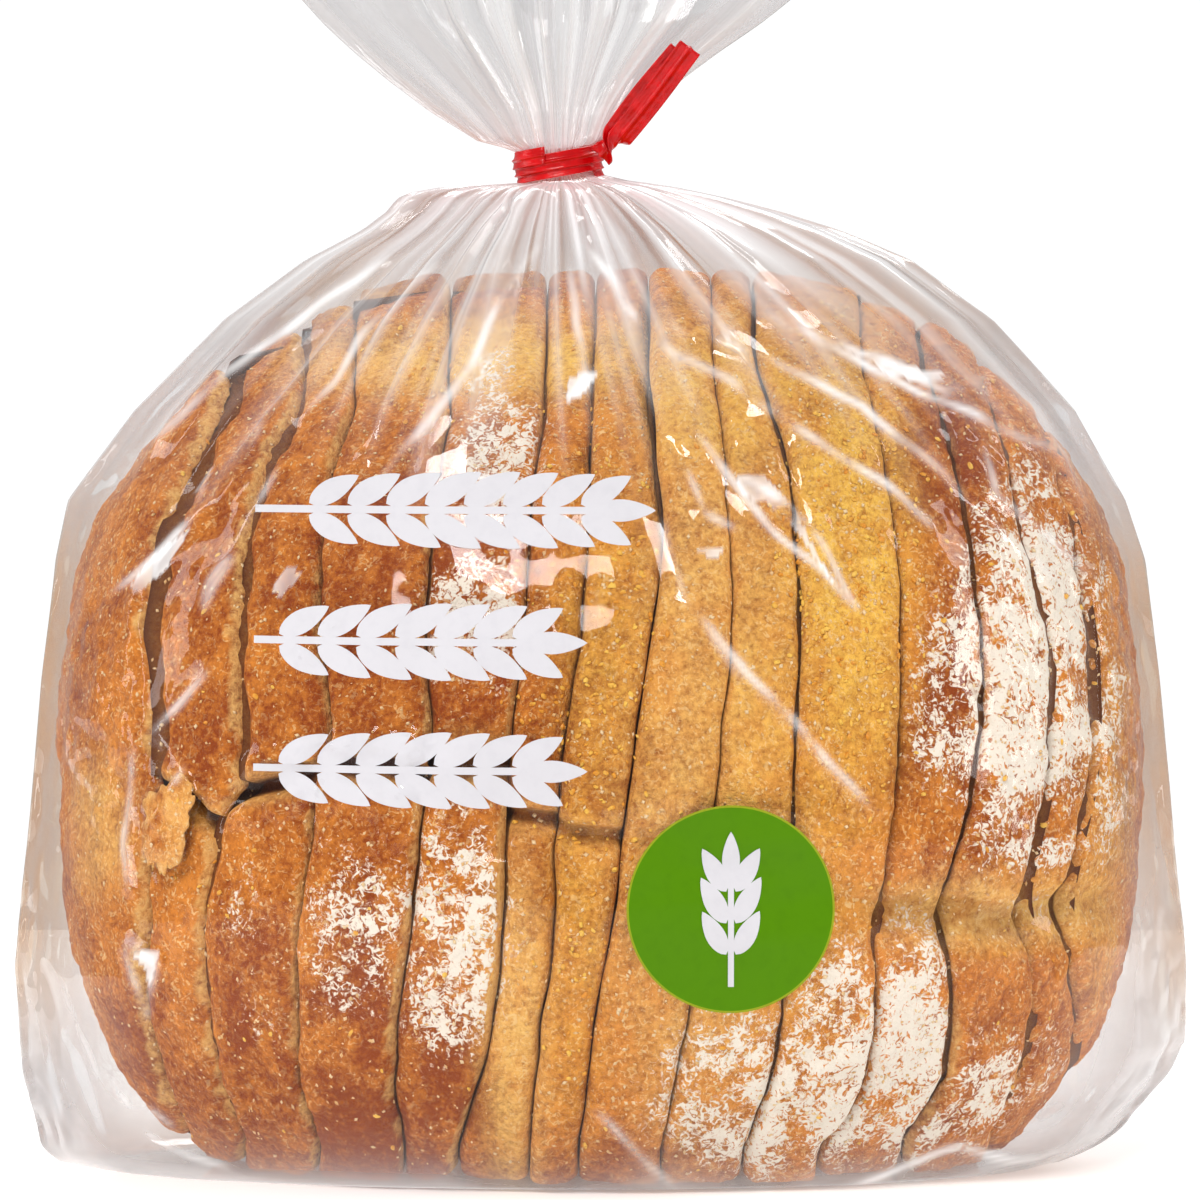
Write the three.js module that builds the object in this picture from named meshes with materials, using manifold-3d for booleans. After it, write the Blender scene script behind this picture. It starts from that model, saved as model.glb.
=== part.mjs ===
// A sliced loaf in a clear bag, gathered at the top and closed with a twist tie.
// Millimetres, +Z up. The bag stands on its flat base, with its front towards -Y.
// The bag is one solid out to its film: a body over the loaf, a narrow neck and a flared, pleated top.
import * as THREE from 'three';
import { mergeVertices } from 'three/addons/utils/BufferGeometryUtils.js';
import Module from 'manifold-3d';

// Outline of the film as [height, reach from the middle]. It runs straight between its corners.
const LEFT_EDGE = [
  [0, 90], [2.4, 93.4], [15.7, 96.6], [32.7, 98.2], [55.7, 95.6], [80.7, 93.4], [100.7, 91.1],
  [110.7, 88.8], [125.7, 78.1], [140.7, 63.9], [150.7, 50.4], [155.7, 40.9], [160.7, 30.8], [162.7, 24],
];
const RIGHT_EDGE = [
  [0, 76], [2.4, 82], [5.7, 87], [15.7, 95], [20.7, 97.6], [35.7, 97.4], [55.7, 95.2], [80.7, 92.9],
  [100.7, 90.6], [110.7, 87.4], [125.7, 78.9], [140.7, 65.8], [150.7, 52.2], [155.7, 40.2],
  [160.7, 27.6], [162.7, 20],
];
const DEPTH_EDGE = [
  [0, 52], [1.5, 55.5], [6, 61], [13, 66], [27, 70.5], [46, 73], [61, 73.4], [81, 71], [96, 66.5],
  [111, 59], [126, 48.5], [139, 37], [148, 28.5], [156, 20], [161, 13.6], [162.7, 10.5],
];

// Heights that carry a ring of points, from the base to just under the neck.
const BODY_RINGS = [
  0, 2.4, 5.7, 10.5, 15.7, 20.7, 27, 32.7, 38, 43, 48, 53, 58, 63, 70, 80.7, 90, 100.7, 110.7, 118,
  125.7, 133, 140.7, 146, 150.7, 155.7, 158.6, 160.9, 162.6,
];

// Neck inside the tie: an ellipse that stands a little left of the loaf's middle.
const NECK_X = -7.2;
const NECK_LOW = 163.9;
const NECK_HIGH = 169.3;
const NECK_MIDDLE = (NECK_LOW + NECK_HIGH) / 2;
const NECK_HALF_WIDTH = 5.9;
const NECK_HALF_DEPTH = 5.1;
const NECK_TILT = THREE.MathUtils.degToRad(8.4);
const GATHER_START = 156;

// Flared top, as heights above the middle of the neck with the reach to the left, right and front.
const FLARE = [
  { rise: 4, left: 14.2, right: 12.4, front: 5.2 },
  { rise: 9.2, left: 23.2, right: 16.4, front: 6.8 },
  { rise: 14.2, left: 29.8, right: 20.8, front: 9.4 },
  { rise: 19.2, left: 35.6, right: 27.6, front: 12.2 },
  { rise: 24.2, left: 40.8, right: 35, front: 15 },
  { rise: 30, left: 46, right: 42.6, front: 16.8 },
  { rise: 38, left: 52.4, right: 50.8, front: 19 },
  { rise: 46, left: 58, right: 57.6, front: 21 },
  { rise: 54, left: 62.4, right: 62.4, front: 22.6 },
];
const MOUTH_WAVE = { height: 2.6, step: 0.37, droop: 3.2 };

// Open mouth: rings inside the flare, as shares of its reach at some of its levels, and the floor of the hollow.
const MOUTH_RINGS = [{ level: 7, share: 0.92 }, { level: 5, share: 0.82 }, { level: 3, share: 0.62 }];
const MOUTH_FLOOR = 9;

// Slices under the film. A cut's place is its share of the half width, from left to right.
const CUTS = [-0.8, -0.65, -0.5, -0.31, -0.153, -0.03, 0.085, 0.24, 0.37, 0.55, 0.697, 0.82, 0.905];
const LOAF_SHARE = 0.95;
const GROOVE_DEPTH = 1.1;
const GROOVE_SHOULDER = 0.24;
const SLICE_SWELL = 0.25;
const GROOVE_RISE = { start: 2, length: 20 };
const GROOVE_FADE = { start: 114, length: 30 };
const TOP_SPREAD = { share: 0.11, start: 92, length: 44 };

// Burst line along the loaf's side: it drops to the right, and the slices step sideways at it.
const CRACK = { left: 61.5, right: 45, start: -0.4, length: 1.2, depth: 1.8, reach: 6, step: 0.06 };
const WING_FADE = 2.5;

// Pleats: how far the folds stand out of the film at each height.
const PLEAT_DEPTH = [
  [0, 0], [91, 0], [116, 0.7], [136, 1.6], [151, 2.8], [160, 2.4], [162.6, 1.2], [163.9, 0.35],
  [169.3, 0.35], [171, 0.8], [178, 1.7], [192, 3.2], [220, 4.4],
];
const COLUMNS_PER_PLEAT = 4;
const PLEAT_LEAST = 0.55;
const PLEAT_RANGE = 0.8;
const PLEAT_SEED = 7;

// Twist tie: a flat ribbon with a wire along its middle.
const RIBBON_WIDTH = 4.1;
const RIBBON_THICKNESS = 0.6;
const WIRE_RADIUS = 0.5;
const BAND_CLEARANCE = 0.6;
const BAND_THICKNESS = 0.9;
const BAND_TURNS = 3;
const TURN_HEIGHT = 1.6;
const TURN_GROOVE = 0.25;
const TURN_GAP = 0.2;
const BAND_SEGMENTS = 40;
const TAIL_SLOPE = THREE.MathUtils.degToRad(42);
const TAIL_LEAN = THREE.MathUtils.degToRad(29);
const TAIL_START = { across: 0.7, front: 4.6, lift: 0.3 };
const TWIST_LENGTH = 6;
const RIBBON_STEPS = 14;

// The ribbon's two ends: stops along the tail with their lift to the front and shift to the side.
const TAIL_STRIPS = [
  { turn: Math.PI, length: 23, lift: [0.35, 0.5, 0.9, 1.3], shift: [0, -0.5, -0.5, 0] },
  { turn: Math.PI * 0.9, length: 21.5, lift: [-0.35, -0.4, -0.2, 0.2], shift: [0, 0.5, 1, 0.9] },
];
const CLEAN_TOLERANCE = 0.01;

const wasm = await Module();
wasm.setup();

const smooth = (t) => THREE.MathUtils.smoothstep(t, 0, 1);

// Straight lines through [height, value] pairs.
function along(profile, height) {
  const last = profile.length - 1;
  if (height >= profile[last][0]) return profile[last][1];
  const next = Math.max(1, profile.findIndex(([level]) => level > height));
  const [lowLevel, lowValue] = profile[next - 1];
  const [highLevel, highValue] = profile[next];
  return lowValue + ((highValue - lowValue) * (height - lowLevel)) / (highLevel - lowLevel);
}

// A repeatable number from 0 to 1 for each pleat.
function chance(index) {
  const value = Math.sin((index + PLEAT_SEED) * 127.1) * 43758.5453;
  return value - Math.floor(value);
}

// Columns across one face: a tip, then each slice's middle with its groove and two shoulders.
function faceColumns() {
  const columns = [{ share: -1, groove: 0 }];
  const edges = [-LOAF_SHARE, ...CUTS, LOAF_SHARE];
  for (let slice = 0; slice < edges.length - 1; slice += 1) {
    const width = edges[slice + 1] - edges[slice];
    if (slice > 0) {
      columns.push({ share: edges[slice], groove: 1 });
      columns.push({ share: edges[slice] + width * GROOVE_SHOULDER, groove: 0 });
    }
    columns.push({ share: edges[slice] + width / 2, groove: -SLICE_SWELL });
    if (slice < CUTS.length) {
      columns.push({ share: edges[slice + 1] - width * GROOVE_SHOULDER, groove: 0 });
    }
  }
  columns.push({ share: 1, groove: 0 });
  return columns;
}

// The front runs from the left tip to the right one, and the back returns. The tips stay unpleated.
function ringColumns() {
  const front = faceColumns().map((column) => ({ ...column, side: -1 }));
  const back = front.slice(1, -1).reverse().map((column) => ({ ...column, side: 1 }));
  return [...front, ...back].map((column, index) => {
    const pleatIndex = index / COLUMNS_PER_PLEAT;
    const strength = PLEAT_LEAST + PLEAT_RANGE * chance(Math.round(pleatIndex));
    const atTip = Math.abs(column.share) === 1;
    return { ...column, pleat: atTip ? 0 : strength * Math.cos(pleatIndex * 2 * Math.PI) };
  });
}

// How far the film stands out at a share of the half width, as a share of the depth: an ellipse
// over the loaf, then film drawn straight out to the tip.
function bulge(share) {
  const reach = Math.abs(share);
  const touch = LOAF_SHARE * LOAF_SHARE;
  const touchDepth = Math.sqrt(1 - touch);
  if (reach > touch) return (touchDepth * (1 - reach)) / (1 - touch);
  return Math.sqrt(1 - (reach / LOAF_SHARE) ** 2);
}

function crackHeight(share) {
  return THREE.MathUtils.lerp(CRACK.left, CRACK.right, smooth((share - CRACK.start) / CRACK.length));
}

// The slices step sideways at the crack and spread a little towards the top.
function shareAt(share, height) {
  const inside = 1 - Math.abs(share) ** 4;
  const below = 1 - smooth((height - crackHeight(share) + CRACK.reach) / (2 * CRACK.reach));
  const spread = 1 + TOP_SPREAD.share * smooth((height - TOP_SPREAD.start) / TOP_SPREAD.length) * inside;
  return share * spread - CRACK.step * below * inside;
}

function bodyPoint(column, height) {
  const share = shareAt(column.share, height);
  const reach = along(share < 0 ? LEFT_EDGE : RIGHT_EDGE, height);
  const centre = NECK_X * smooth((height - GATHER_START) / (NECK_LOW - GATHER_START));
  const fromCrack = (height - crackHeight(share)) / CRACK.reach;
  const crack = CRACK.depth * Math.exp(-fromCrack * fromCrack);
  const risen = smooth((height - GROOVE_RISE.start) / GROOVE_RISE.length);
  const faded = smooth((height - GROOVE_FADE.start) / GROOVE_FADE.length);
  const groove = GROOVE_DEPTH * column.groove * risen * (1 - faded);
  const overLoaf = Math.min(1, WING_FADE * (1 - Math.abs(share)));
  const depth = along(DEPTH_EDGE, height) - (crack + groove) * overLoaf;
  return new THREE.Vector3(centre + share * reach, column.side * depth * bulge(share), height);
}

// A point on an ellipse round the neck's axis.
function gatheredPoint(column, left, right, front, height) {
  const angle = (column.share * Math.PI) / 2;
  const reach = column.share < 0 ? left : right;
  return new THREE.Vector3(NECK_X + reach * Math.sin(angle), column.side * front * Math.cos(angle), height);
}

// Pleats push a point away from the neck's axis, or towards it.
function pleated(point, column) {
  const outward = new THREE.Vector2(point.x - NECK_X, point.y).normalize();
  const depth = along(PLEAT_DEPTH, point.z) * column.pleat;
  return point.add(new THREE.Vector3(outward.x * depth, outward.y * depth, 0));
}

function neckRing(columns, height) {
  return columns.map((column) => {
    const point = gatheredPoint(column, NECK_HALF_WIDTH, NECK_HALF_WIDTH, NECK_HALF_DEPTH, height);
    point.z += (point.x - NECK_X) * Math.tan(NECK_TILT);
    return point;
  });
}

function flareRing(columns, level) {
  const { rise, left, right, front } = FLARE[level];
  const share = rise / FLARE[FLARE.length - 1].rise;
  const wave = level === FLARE.length - 1 ? MOUTH_WAVE.height : 0;
  return columns.map((column, index) => {
    const point = pleated(gatheredPoint(column, left, right, front, NECK_MIDDLE + rise), column);
    point.z += wave * Math.sin(index * MOUTH_WAVE.step);
    point.z -= MOUTH_WAVE.droop * share * Math.abs(column.share) ** 3;
    return point;
  });
}

// The inside of the open mouth at one level of the flare.
function mouthRing(columns, { level, share }) {
  return flareRing(columns, level).map((point) => new THREE.Vector3(
    NECK_X + (point.x - NECK_X) * share, point.y * share, point.z,
  ));
}

// A closed skin through rings of equal length, with a fan over each end.
function skin(rings, bottomCentre, topCentre) {
  const count = rings[0].length;
  const points = [...rings.flat(), bottomCentre, topCentre];
  const bottom = points.length - 2;
  const top = points.length - 1;
  const lastRing = (rings.length - 1) * count;
  const faces = [];
  for (let i = 0; i < count; i += 1) {
    const next = (i + 1) % count;
    faces.push(bottom, next, i, top, lastRing + i, lastRing + next);
    faces.push(...ringWall(rings.length, count, i));
  }
  return indexed(points, faces);
}

// The wall between columns i and i + 1, from the first ring to the last.
function ringWall(ringCount, count, i) {
  const next = (i + 1) % count;
  const faces = [];
  for (let ring = 0; ring < ringCount - 1; ring += 1) {
    const low = ring * count;
    const high = low + count;
    faces.push(low + i, low + next, high + next, low + i, high + next, high + i);
  }
  return faces;
}

function indexed(points, faces) {
  const geometry = new THREE.BufferGeometry().setFromPoints(points);
  geometry.setIndex(faces);
  return geometry;
}

function bagGeometry() {
  const columns = ringColumns();
  const body = BODY_RINGS.map((height) => columns.map((column) => pleated(bodyPoint(column, height), column)));
  const neck = [neckRing(columns, NECK_LOW), neckRing(columns, NECK_HIGH)];
  const flare = FLARE.map((step, level) => flareRing(columns, level));
  const mouth = MOUTH_RINGS.map((ring) => mouthRing(columns, ring));
  const rings = [...body, ...neck, ...flare, ...mouth];
  return skin(rings, new THREE.Vector3(0, 0, 0), new THREE.Vector3(NECK_X, 0, NECK_MIDDLE + MOUTH_FLOOR));
}

function toSolid(geometry) {
  const bare = geometry.clone();
  bare.deleteAttribute('normal');
  bare.deleteAttribute('uv');
  const merged = mergeVertices(bare);
  return new wasm.Manifold(new wasm.Mesh({
    numProp: 3,
    vertProperties: new Float32Array(merged.attributes.position.array),
    triVerts: new Uint32Array(merged.index.array),
  }));
}

function toGeometry(solid) {
  const mesh = solid.getMesh();
  const geometry = new THREE.BufferGeometry();
  geometry.setAttribute('position', new THREE.BufferAttribute(new Float32Array(mesh.vertProperties), 3));
  geometry.setIndex(new THREE.BufferAttribute(new Uint32Array(mesh.triVerts), 1));
  return geometry;
}

// The turns of the ribbon round the neck: one hoop that swells over the wire of each turn.
function bandGeometry() {
  const inner = NECK_HALF_WIDTH + BAND_CLEARANCE;
  const outer = inner + BAND_THICKNESS;
  const half = (BAND_TURNS * TURN_HEIGHT) / 2;
  const profile = [[inner, -half]];
  for (let turn = 0; turn < BAND_TURNS; turn += 1) {
    const low = turn * TURN_HEIGHT - half;
    profile.push([outer - TURN_GROOVE, low + TURN_GAP], [outer, low + TURN_HEIGHT / 2]);
    profile.push([outer - TURN_GROOVE, low + TURN_HEIGHT - TURN_GAP]);
    if (turn < BAND_TURNS - 1) profile.push([outer - 2 * TURN_GROOVE, low + TURN_HEIGHT]);
  }
  profile.push([inner, half], [inner, -half]);
  const geometry = new THREE.LatheGeometry(profile.map(([r, h]) => new THREE.Vector2(r, h)), BAND_SEGMENTS);
  geometry.rotateX(Math.PI / 2);
  geometry.scale(1, (NECK_HALF_DEPTH + BAND_CLEARANCE) / inner, 1);
  return geometry;
}

// A flat ribbon with its wire, swept along a path. roll(t) turns it about the path.
function ribbonGeometry(path, roll) {
  const half = RIBBON_WIDTH / 2;
  const flat = RIBBON_THICKNESS / 2;
  const section = [
    [-half, -flat], [-WIRE_RADIUS, -flat], [0, -WIRE_RADIUS], [WIRE_RADIUS, -flat], [half, -flat],
    [half, flat], [WIRE_RADIUS, flat], [0, WIRE_RADIUS], [-WIRE_RADIUS, flat], [-half, flat],
  ];
  const frontward = new THREE.Vector3(0, -1, 0);
  const rings = [];
  for (let step = 0; step <= RIBBON_STEPS; step += 1) {
    const t = step / RIBBON_STEPS;
    const centre = path.getPoint(t);
    const ahead = path.getTangent(t).normalize();
    const across = new THREE.Vector3().crossVectors(ahead, frontward).normalize();
    across.applyAxisAngle(ahead, roll(t));
    const out = new THREE.Vector3().crossVectors(ahead, across);
    rings.push(section.map(([a, b]) => centre.clone().addScaledVector(across, a).addScaledVector(out, b)));
  }
  const last = (rings.length - 1) * section.length;
  const faces = section.flatMap((corner, i) => ringWall(rings.length, section.length, i));
  const ends = THREE.ShapeUtils.triangulateShape(section.map(([a, b]) => new THREE.Vector2(a, b)), []);
  for (const [a, b, c] of ends) faces.push(a, c, b, last + a, last + b, last + c);
  return indexed(rings.flat(), faces);
}

// The two ends of the ribbon are twisted together beside the neck, and then lie almost on each other.
function tailGeometries() {
  const edge = NECK_HALF_WIDTH + BAND_CLEARANCE + TAIL_START.across;
  const start = new THREE.Vector3(edge, -TAIL_START.front, TAIL_START.lift);
  const forward = new THREE.Vector3(Math.cos(TAIL_SLOPE), -Math.sin(TAIL_LEAN), Math.sin(TAIL_SLOPE));
  const sideways = new THREE.Vector3(-Math.sin(TAIL_SLOPE), 0, Math.cos(TAIL_SLOPE));
  const frontward = new THREE.Vector3(0, -1, 0);
  return TAIL_STRIPS.map(({ turn, length, lift, shift }) => {
    const stops = [0, TWIST_LENGTH * 0.6, length * 0.55, length];
    const path = new THREE.CatmullRomCurve3(stops.map((stop, i) => start.clone()
      .addScaledVector(forward, stop)
      .addScaledVector(frontward, lift[i])
      .addScaledVector(sideways, shift[i])));
    return ribbonGeometry(path, (t) => turn * (1 - smooth((t * length) / TWIST_LENGTH)));
  });
}

function tieGeometry() {
  const pieces = [bandGeometry(), ...tailGeometries()].map(toSolid);
  const joined = pieces.reduce((whole, piece) => whole.add(piece));
  return toGeometry(joined.simplify(CLEAN_TOLERANCE));
}

// Stands the model on its base, centred on its own box.
function centreOnBase(group) {
  group.updateMatrixWorld(true);
  const box = new THREE.Box3().setFromObject(group, true);
  const middle = box.getCenter(new THREE.Vector3());
  for (const child of group.children) child.position.add(new THREE.Vector3(-middle.x, -middle.y, -box.min.z));
}

const bag = new THREE.Mesh(bagGeometry(), new THREE.MeshStandardMaterial({
  color: '#c9a069', roughness: 0.2, metalness: 0,
}));
bag.name = 'bag';

const tie = new THREE.Mesh(tieGeometry(), new THREE.MeshStandardMaterial({
  color: '#d0021b', roughness: 0.35, metalness: 0,
}));
tie.name = 'twist_tie';
tie.position.set(NECK_X, 0, NECK_MIDDLE);
tie.rotation.y = -NECK_TILT;

const loafInBag = new THREE.Group();
loafInBag.add(bag, tie);
centreOnBase(loafInBag);

export default loafInBag;
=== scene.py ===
import math
import bpy
import numpy as np
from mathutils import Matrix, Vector
from mathutils.bvhtree import BVHTree


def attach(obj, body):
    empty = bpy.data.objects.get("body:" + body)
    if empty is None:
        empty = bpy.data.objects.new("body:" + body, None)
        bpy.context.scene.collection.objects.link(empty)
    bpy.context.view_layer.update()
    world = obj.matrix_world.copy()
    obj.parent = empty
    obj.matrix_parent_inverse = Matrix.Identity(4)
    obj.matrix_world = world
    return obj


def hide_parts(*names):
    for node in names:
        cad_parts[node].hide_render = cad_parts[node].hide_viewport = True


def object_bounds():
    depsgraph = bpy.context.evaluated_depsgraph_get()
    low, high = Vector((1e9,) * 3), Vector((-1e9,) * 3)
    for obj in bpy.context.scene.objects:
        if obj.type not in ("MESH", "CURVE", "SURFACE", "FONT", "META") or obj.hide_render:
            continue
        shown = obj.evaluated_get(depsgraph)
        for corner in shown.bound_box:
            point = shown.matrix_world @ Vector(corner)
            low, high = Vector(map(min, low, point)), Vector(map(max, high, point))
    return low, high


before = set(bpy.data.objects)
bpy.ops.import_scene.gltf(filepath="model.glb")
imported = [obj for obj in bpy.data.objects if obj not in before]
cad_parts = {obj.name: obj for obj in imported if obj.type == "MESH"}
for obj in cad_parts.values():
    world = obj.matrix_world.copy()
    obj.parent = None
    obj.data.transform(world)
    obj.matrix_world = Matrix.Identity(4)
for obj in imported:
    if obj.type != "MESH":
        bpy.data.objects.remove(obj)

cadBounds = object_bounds()
mm = 0.001  # lengths below are in millimetres, and meshes are made in metres
print("frame loaded:", sorted(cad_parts))

# small tools


def smoothStep(start, end, value):
    t = np.clip((value - start) / (end - start), 0.0, 1.0)
    return t * t * (3 - 2 * t)


def latticeValue(i, j, k, seed):
    n = (i * 374761393 + j * 668265263 + k * 1440662683 + seed * 1274126177) & 0xFFFFFFFF
    n = ((n ^ (n >> 13)) * 1274126177) & 0xFFFFFFFF
    return ((n ^ (n >> 16)) & 0xFFFFFF) / 8388607.5 - 1.0


def softNoise(points, size, seed):  # from -1 to 1, changing over about size millimetres
    scaled = np.asarray(points, dtype=float) / size
    cell = np.floor(scaled).astype(np.int64)
    part = scaled - cell
    part = part * part * (3 - 2 * part)
    total = np.zeros(len(scaled))
    for corner in range(8):
        step = np.array([corner & 1, (corner >> 1) & 1, corner >> 2])
        weight = np.prod(np.where(step, part, 1 - part), axis=1)
        at = cell + step
        total += weight * latticeValue(at[:, 0], at[:, 1], at[:, 2], seed)
    return total


def unit(vectors):
    return vectors / np.maximum(np.linalg.norm(vectors, axis=-1, keepdims=True), 1e-9)


def rayTree(pieces, crustOnly=False):  # for rays cast at the pieces, in millimetres
    points, faces = [], []
    for piece in pieces:
        start = len(points)
        points += [tuple(c / mm for c in v.co) for v in piece.data.vertices]
        for face in piece.data.polygons:
            if face.material_index == 0 or not crustOnly:
                faces.append(tuple(start + v for v in face.vertices))
    return BVHTree.FromPolygons(points, faces)


def makePiece(name, points, faces, masks=None):
    mesh = bpy.data.meshes.new(name)
    mesh.from_pydata((np.asarray(points) * mm).tolist(), [], faces)
    for label, values in (masks or {}).items():
        layer = mesh.attributes.new(label, "FLOAT", "POINT")
        layer.data.foreach_set("value", np.asarray(values, dtype=np.float32))
    mesh.polygons.foreach_set("use_smooth", [True] * len(mesh.polygons))
    mesh.update()
    piece = bpy.data.objects.new(name, mesh)
    bpy.context.scene.collection.objects.link(piece)
    return piece


def gridFaces(rows, columns, closed):  # quads of a grid whose rows may close on themselves
    faces = []
    for row in range(rows - 1):
        low = row * columns
        for column in range(columns if closed else columns - 1):
            after = (column + 1) % columns
            faces.append((low + column, low + after, low + columns + after, low + columns + column))
    return faces


def newMaterial(name):
    material = bpy.data.materials.new(name)
    material.use_nodes = True
    material.node_tree.nodes.clear()
    return material


def addNode(tree, kind, inputs=None, **settings):
    node = tree.nodes.new(kind)
    for label, value in settings.items():
        setattr(node, label, value)
    for label, value in (inputs or {}).items():
        if isinstance(value, bpy.types.NodeSocket):
            tree.links.new(value, node.inputs[label])
        else:
            node.inputs[label].default_value = value
    return node


def maths(tree, operation, first, second=0.0, clamp=False):
    node = addNode(tree, "ShaderNodeMath", {0: first, 1: second}, operation=operation, use_clamp=clamp)
    return node.outputs[0]


def mixColour(tree, factor, first, second):
    node = tree.nodes.new("ShaderNodeMix")
    node.data_type = "RGBA"
    for index, value in ((0, factor), (6, first), (7, second)):
        if isinstance(value, bpy.types.NodeSocket):
            tree.links.new(value, node.inputs[index])
        else:
            node.inputs[index].default_value = value
    return node.outputs[2]


def srgb(red, green, blue):
    def linear(value):
        value /= 255
        return value / 12.92 if value <= 0.04045 else ((value + 0.055) / 1.055) ** 2.4
    return (linear(red), linear(green), linear(blue), 1.0)


def attribute(tree, label):
    return addNode(tree, "ShaderNodeAttribute", attribute_name=label).outputs["Fac"]


def newGroup(name, inputs, outputs):
    group = bpy.data.node_groups.new(name, "ShaderNodeTree")
    for label, value in inputs.items():
        socket = group.interface.new_socket(name=label, in_out="INPUT", socket_type="NodeSocketFloat")
        socket.default_value = value
    for label in outputs:
        group.interface.new_socket(name=label, in_out="OUTPUT", socket_type="NodeSocketFloat")
    return group, group.nodes.new("NodeGroupInput"), group.nodes.new("NodeGroupOutput")


def useGroup(tree, group, **values):
    node = tree.nodes.new("ShaderNodeGroup")
    node.node_tree = group
    for label, value in values.items():
        if isinstance(value, bpy.types.NodeSocket):
            tree.links.new(value, node.inputs[label])
        else:
            node.inputs[label].default_value = value
    return node


def smoothMask(tree, value, low, high):
    ramp = addNode(tree, "ShaderNodeMapRange", {"Value": value, "From Min": low, "From Max": high},
                   interpolation_type="SMOOTHSTEP")
    return ramp.outputs["Result"]


# shared shader effects


def makeSpeckleGroup():  # patches of fine specks, more of them as Amount rises
    group, given, result = newGroup(
        "fineSpecks", {"Scale": 1000.0, "Amount": 0.3, "Softness": 0.05, "Curl": 0.0}, ["Mask"])
    where = addNode(group, "ShaderNodeTexCoord")
    noise = addNode(group, "ShaderNodeTexNoise", {
        "Vector": where.outputs["Object"], "Scale": given.outputs["Scale"], "Detail": 2.0, "Roughness": 0.6,
        "Distortion": given.outputs["Curl"]})
    level = maths(group, "SUBTRACT", 0.78, maths(group, "MULTIPLY", given.outputs["Amount"], 0.56))
    low = maths(group, "SUBTRACT", level, given.outputs["Softness"])
    high = maths(group, "ADD", level, given.outputs["Softness"])
    group.links.new(smoothMask(group, noise.outputs["Fac"], low, high), result.inputs["Mask"])
    return group


def makeGrainGroup():  # separate round grains, some of the cells left empty
    group, given, result = newGroup(
        "looseGrains", {"Scale": 900.0, "Amount": 0.3, "Size": 0.3}, ["Mask", "Height"])
    where = addNode(group, "ShaderNodeTexCoord")
    cells = addNode(group, "ShaderNodeTexVoronoi", {"Vector": where.outputs["Object"],
                                                    "Scale": given.outputs["Scale"], "Randomness": 1.0})
    pick = addNode(group, "ShaderNodeSeparateColor", {"Color": cells.outputs["Color"]})
    taken = maths(group, "LESS_THAN", pick.outputs["Red"], given.outputs["Amount"])
    dome = addNode(group, "ShaderNodeMapRange", {"Value": cells.outputs["Distance"],
                                                 "From Min": given.outputs["Size"], "From Max": 0.0})
    edge = addNode(group, "ShaderNodeMapRange", {"Value": dome.outputs["Result"], "From Max": 0.3})
    group.links.new(maths(group, "MULTIPLY", edge.outputs["Result"], taken), result.inputs["Mask"])
    group.links.new(maths(group, "MULTIPLY", dome.outputs["Result"], taken), result.inputs["Height"])
    return group


def makeReliefGroup():  # two sizes of soft relief for a bump
    group, given, result = newGroup("softRelief", {"Coarse": 300.0, "Fine": 1500.0, "Share": 0.4}, ["Height"])
    where = addNode(group, "ShaderNodeTexCoord")
    coarse = addNode(group, "ShaderNodeTexNoise", {
        "Vector": where.outputs["Object"], "Scale": given.outputs["Coarse"], "Detail": 4.0})
    fine = addNode(group, "ShaderNodeTexNoise", {
        "Vector": where.outputs["Object"], "Scale": given.outputs["Fine"], "Detail": 3.0, "Roughness": 0.65})
    scaled = maths(group, "MULTIPLY", fine.outputs["Fac"], given.outputs["Share"])
    group.links.new(maths(group, "ADD", coarse.outputs["Fac"], scaled), result.inputs["Height"])
    return group


def finishSurface(tree, colour, roughness, specular=0.5, bump=None):
    surface = addNode(tree, "ShaderNodeBsdfPrincipled", {"Base Color": colour, "Roughness": roughness})
    surface.inputs["Specular IOR Level"].default_value = specular
    if bump is not None:
        tree.links.new(bump.outputs["Normal"], surface.inputs["Normal"])
    addNode(tree, "ShaderNodeOutputMaterial", {"Surface": surface.outputs[0]})
    return surface


fineSpecks = makeSpeckleGroup()
looseGrains = makeGrainGroup()
softRelief = makeReliefGroup()
print("shader groups made")

# materials

crustLook = {
    "deep": srgb(146, 62, 8), "middle": srgb(224, 136, 48), "gold": srgb(255, 204, 88),
    # the darkest brown is painted shade for the split and the gaps between slices
    "pale": srgb(248, 196, 110), "flake": srgb(250, 212, 148), "hollow": srgb(92, 44, 14),
    "thinFlour": srgb(226, 180, 146), "flour": srgb(252, 242, 226), "cutEdge": srgb(236, 186, 112),
    "roughness": 0.78, "specular": 0.2, "bump": 0.6, "bumpDepth": 0.0016,
    "grainScale": 950.0, "contrast": 2.1,  # the fine mottling
    "flakeScale": 850.0, "flakeAmount": 0.33,  # pale flecks
    "powderScale": 760.0, "powderAmount": 0.72,  # flour
}


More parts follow.
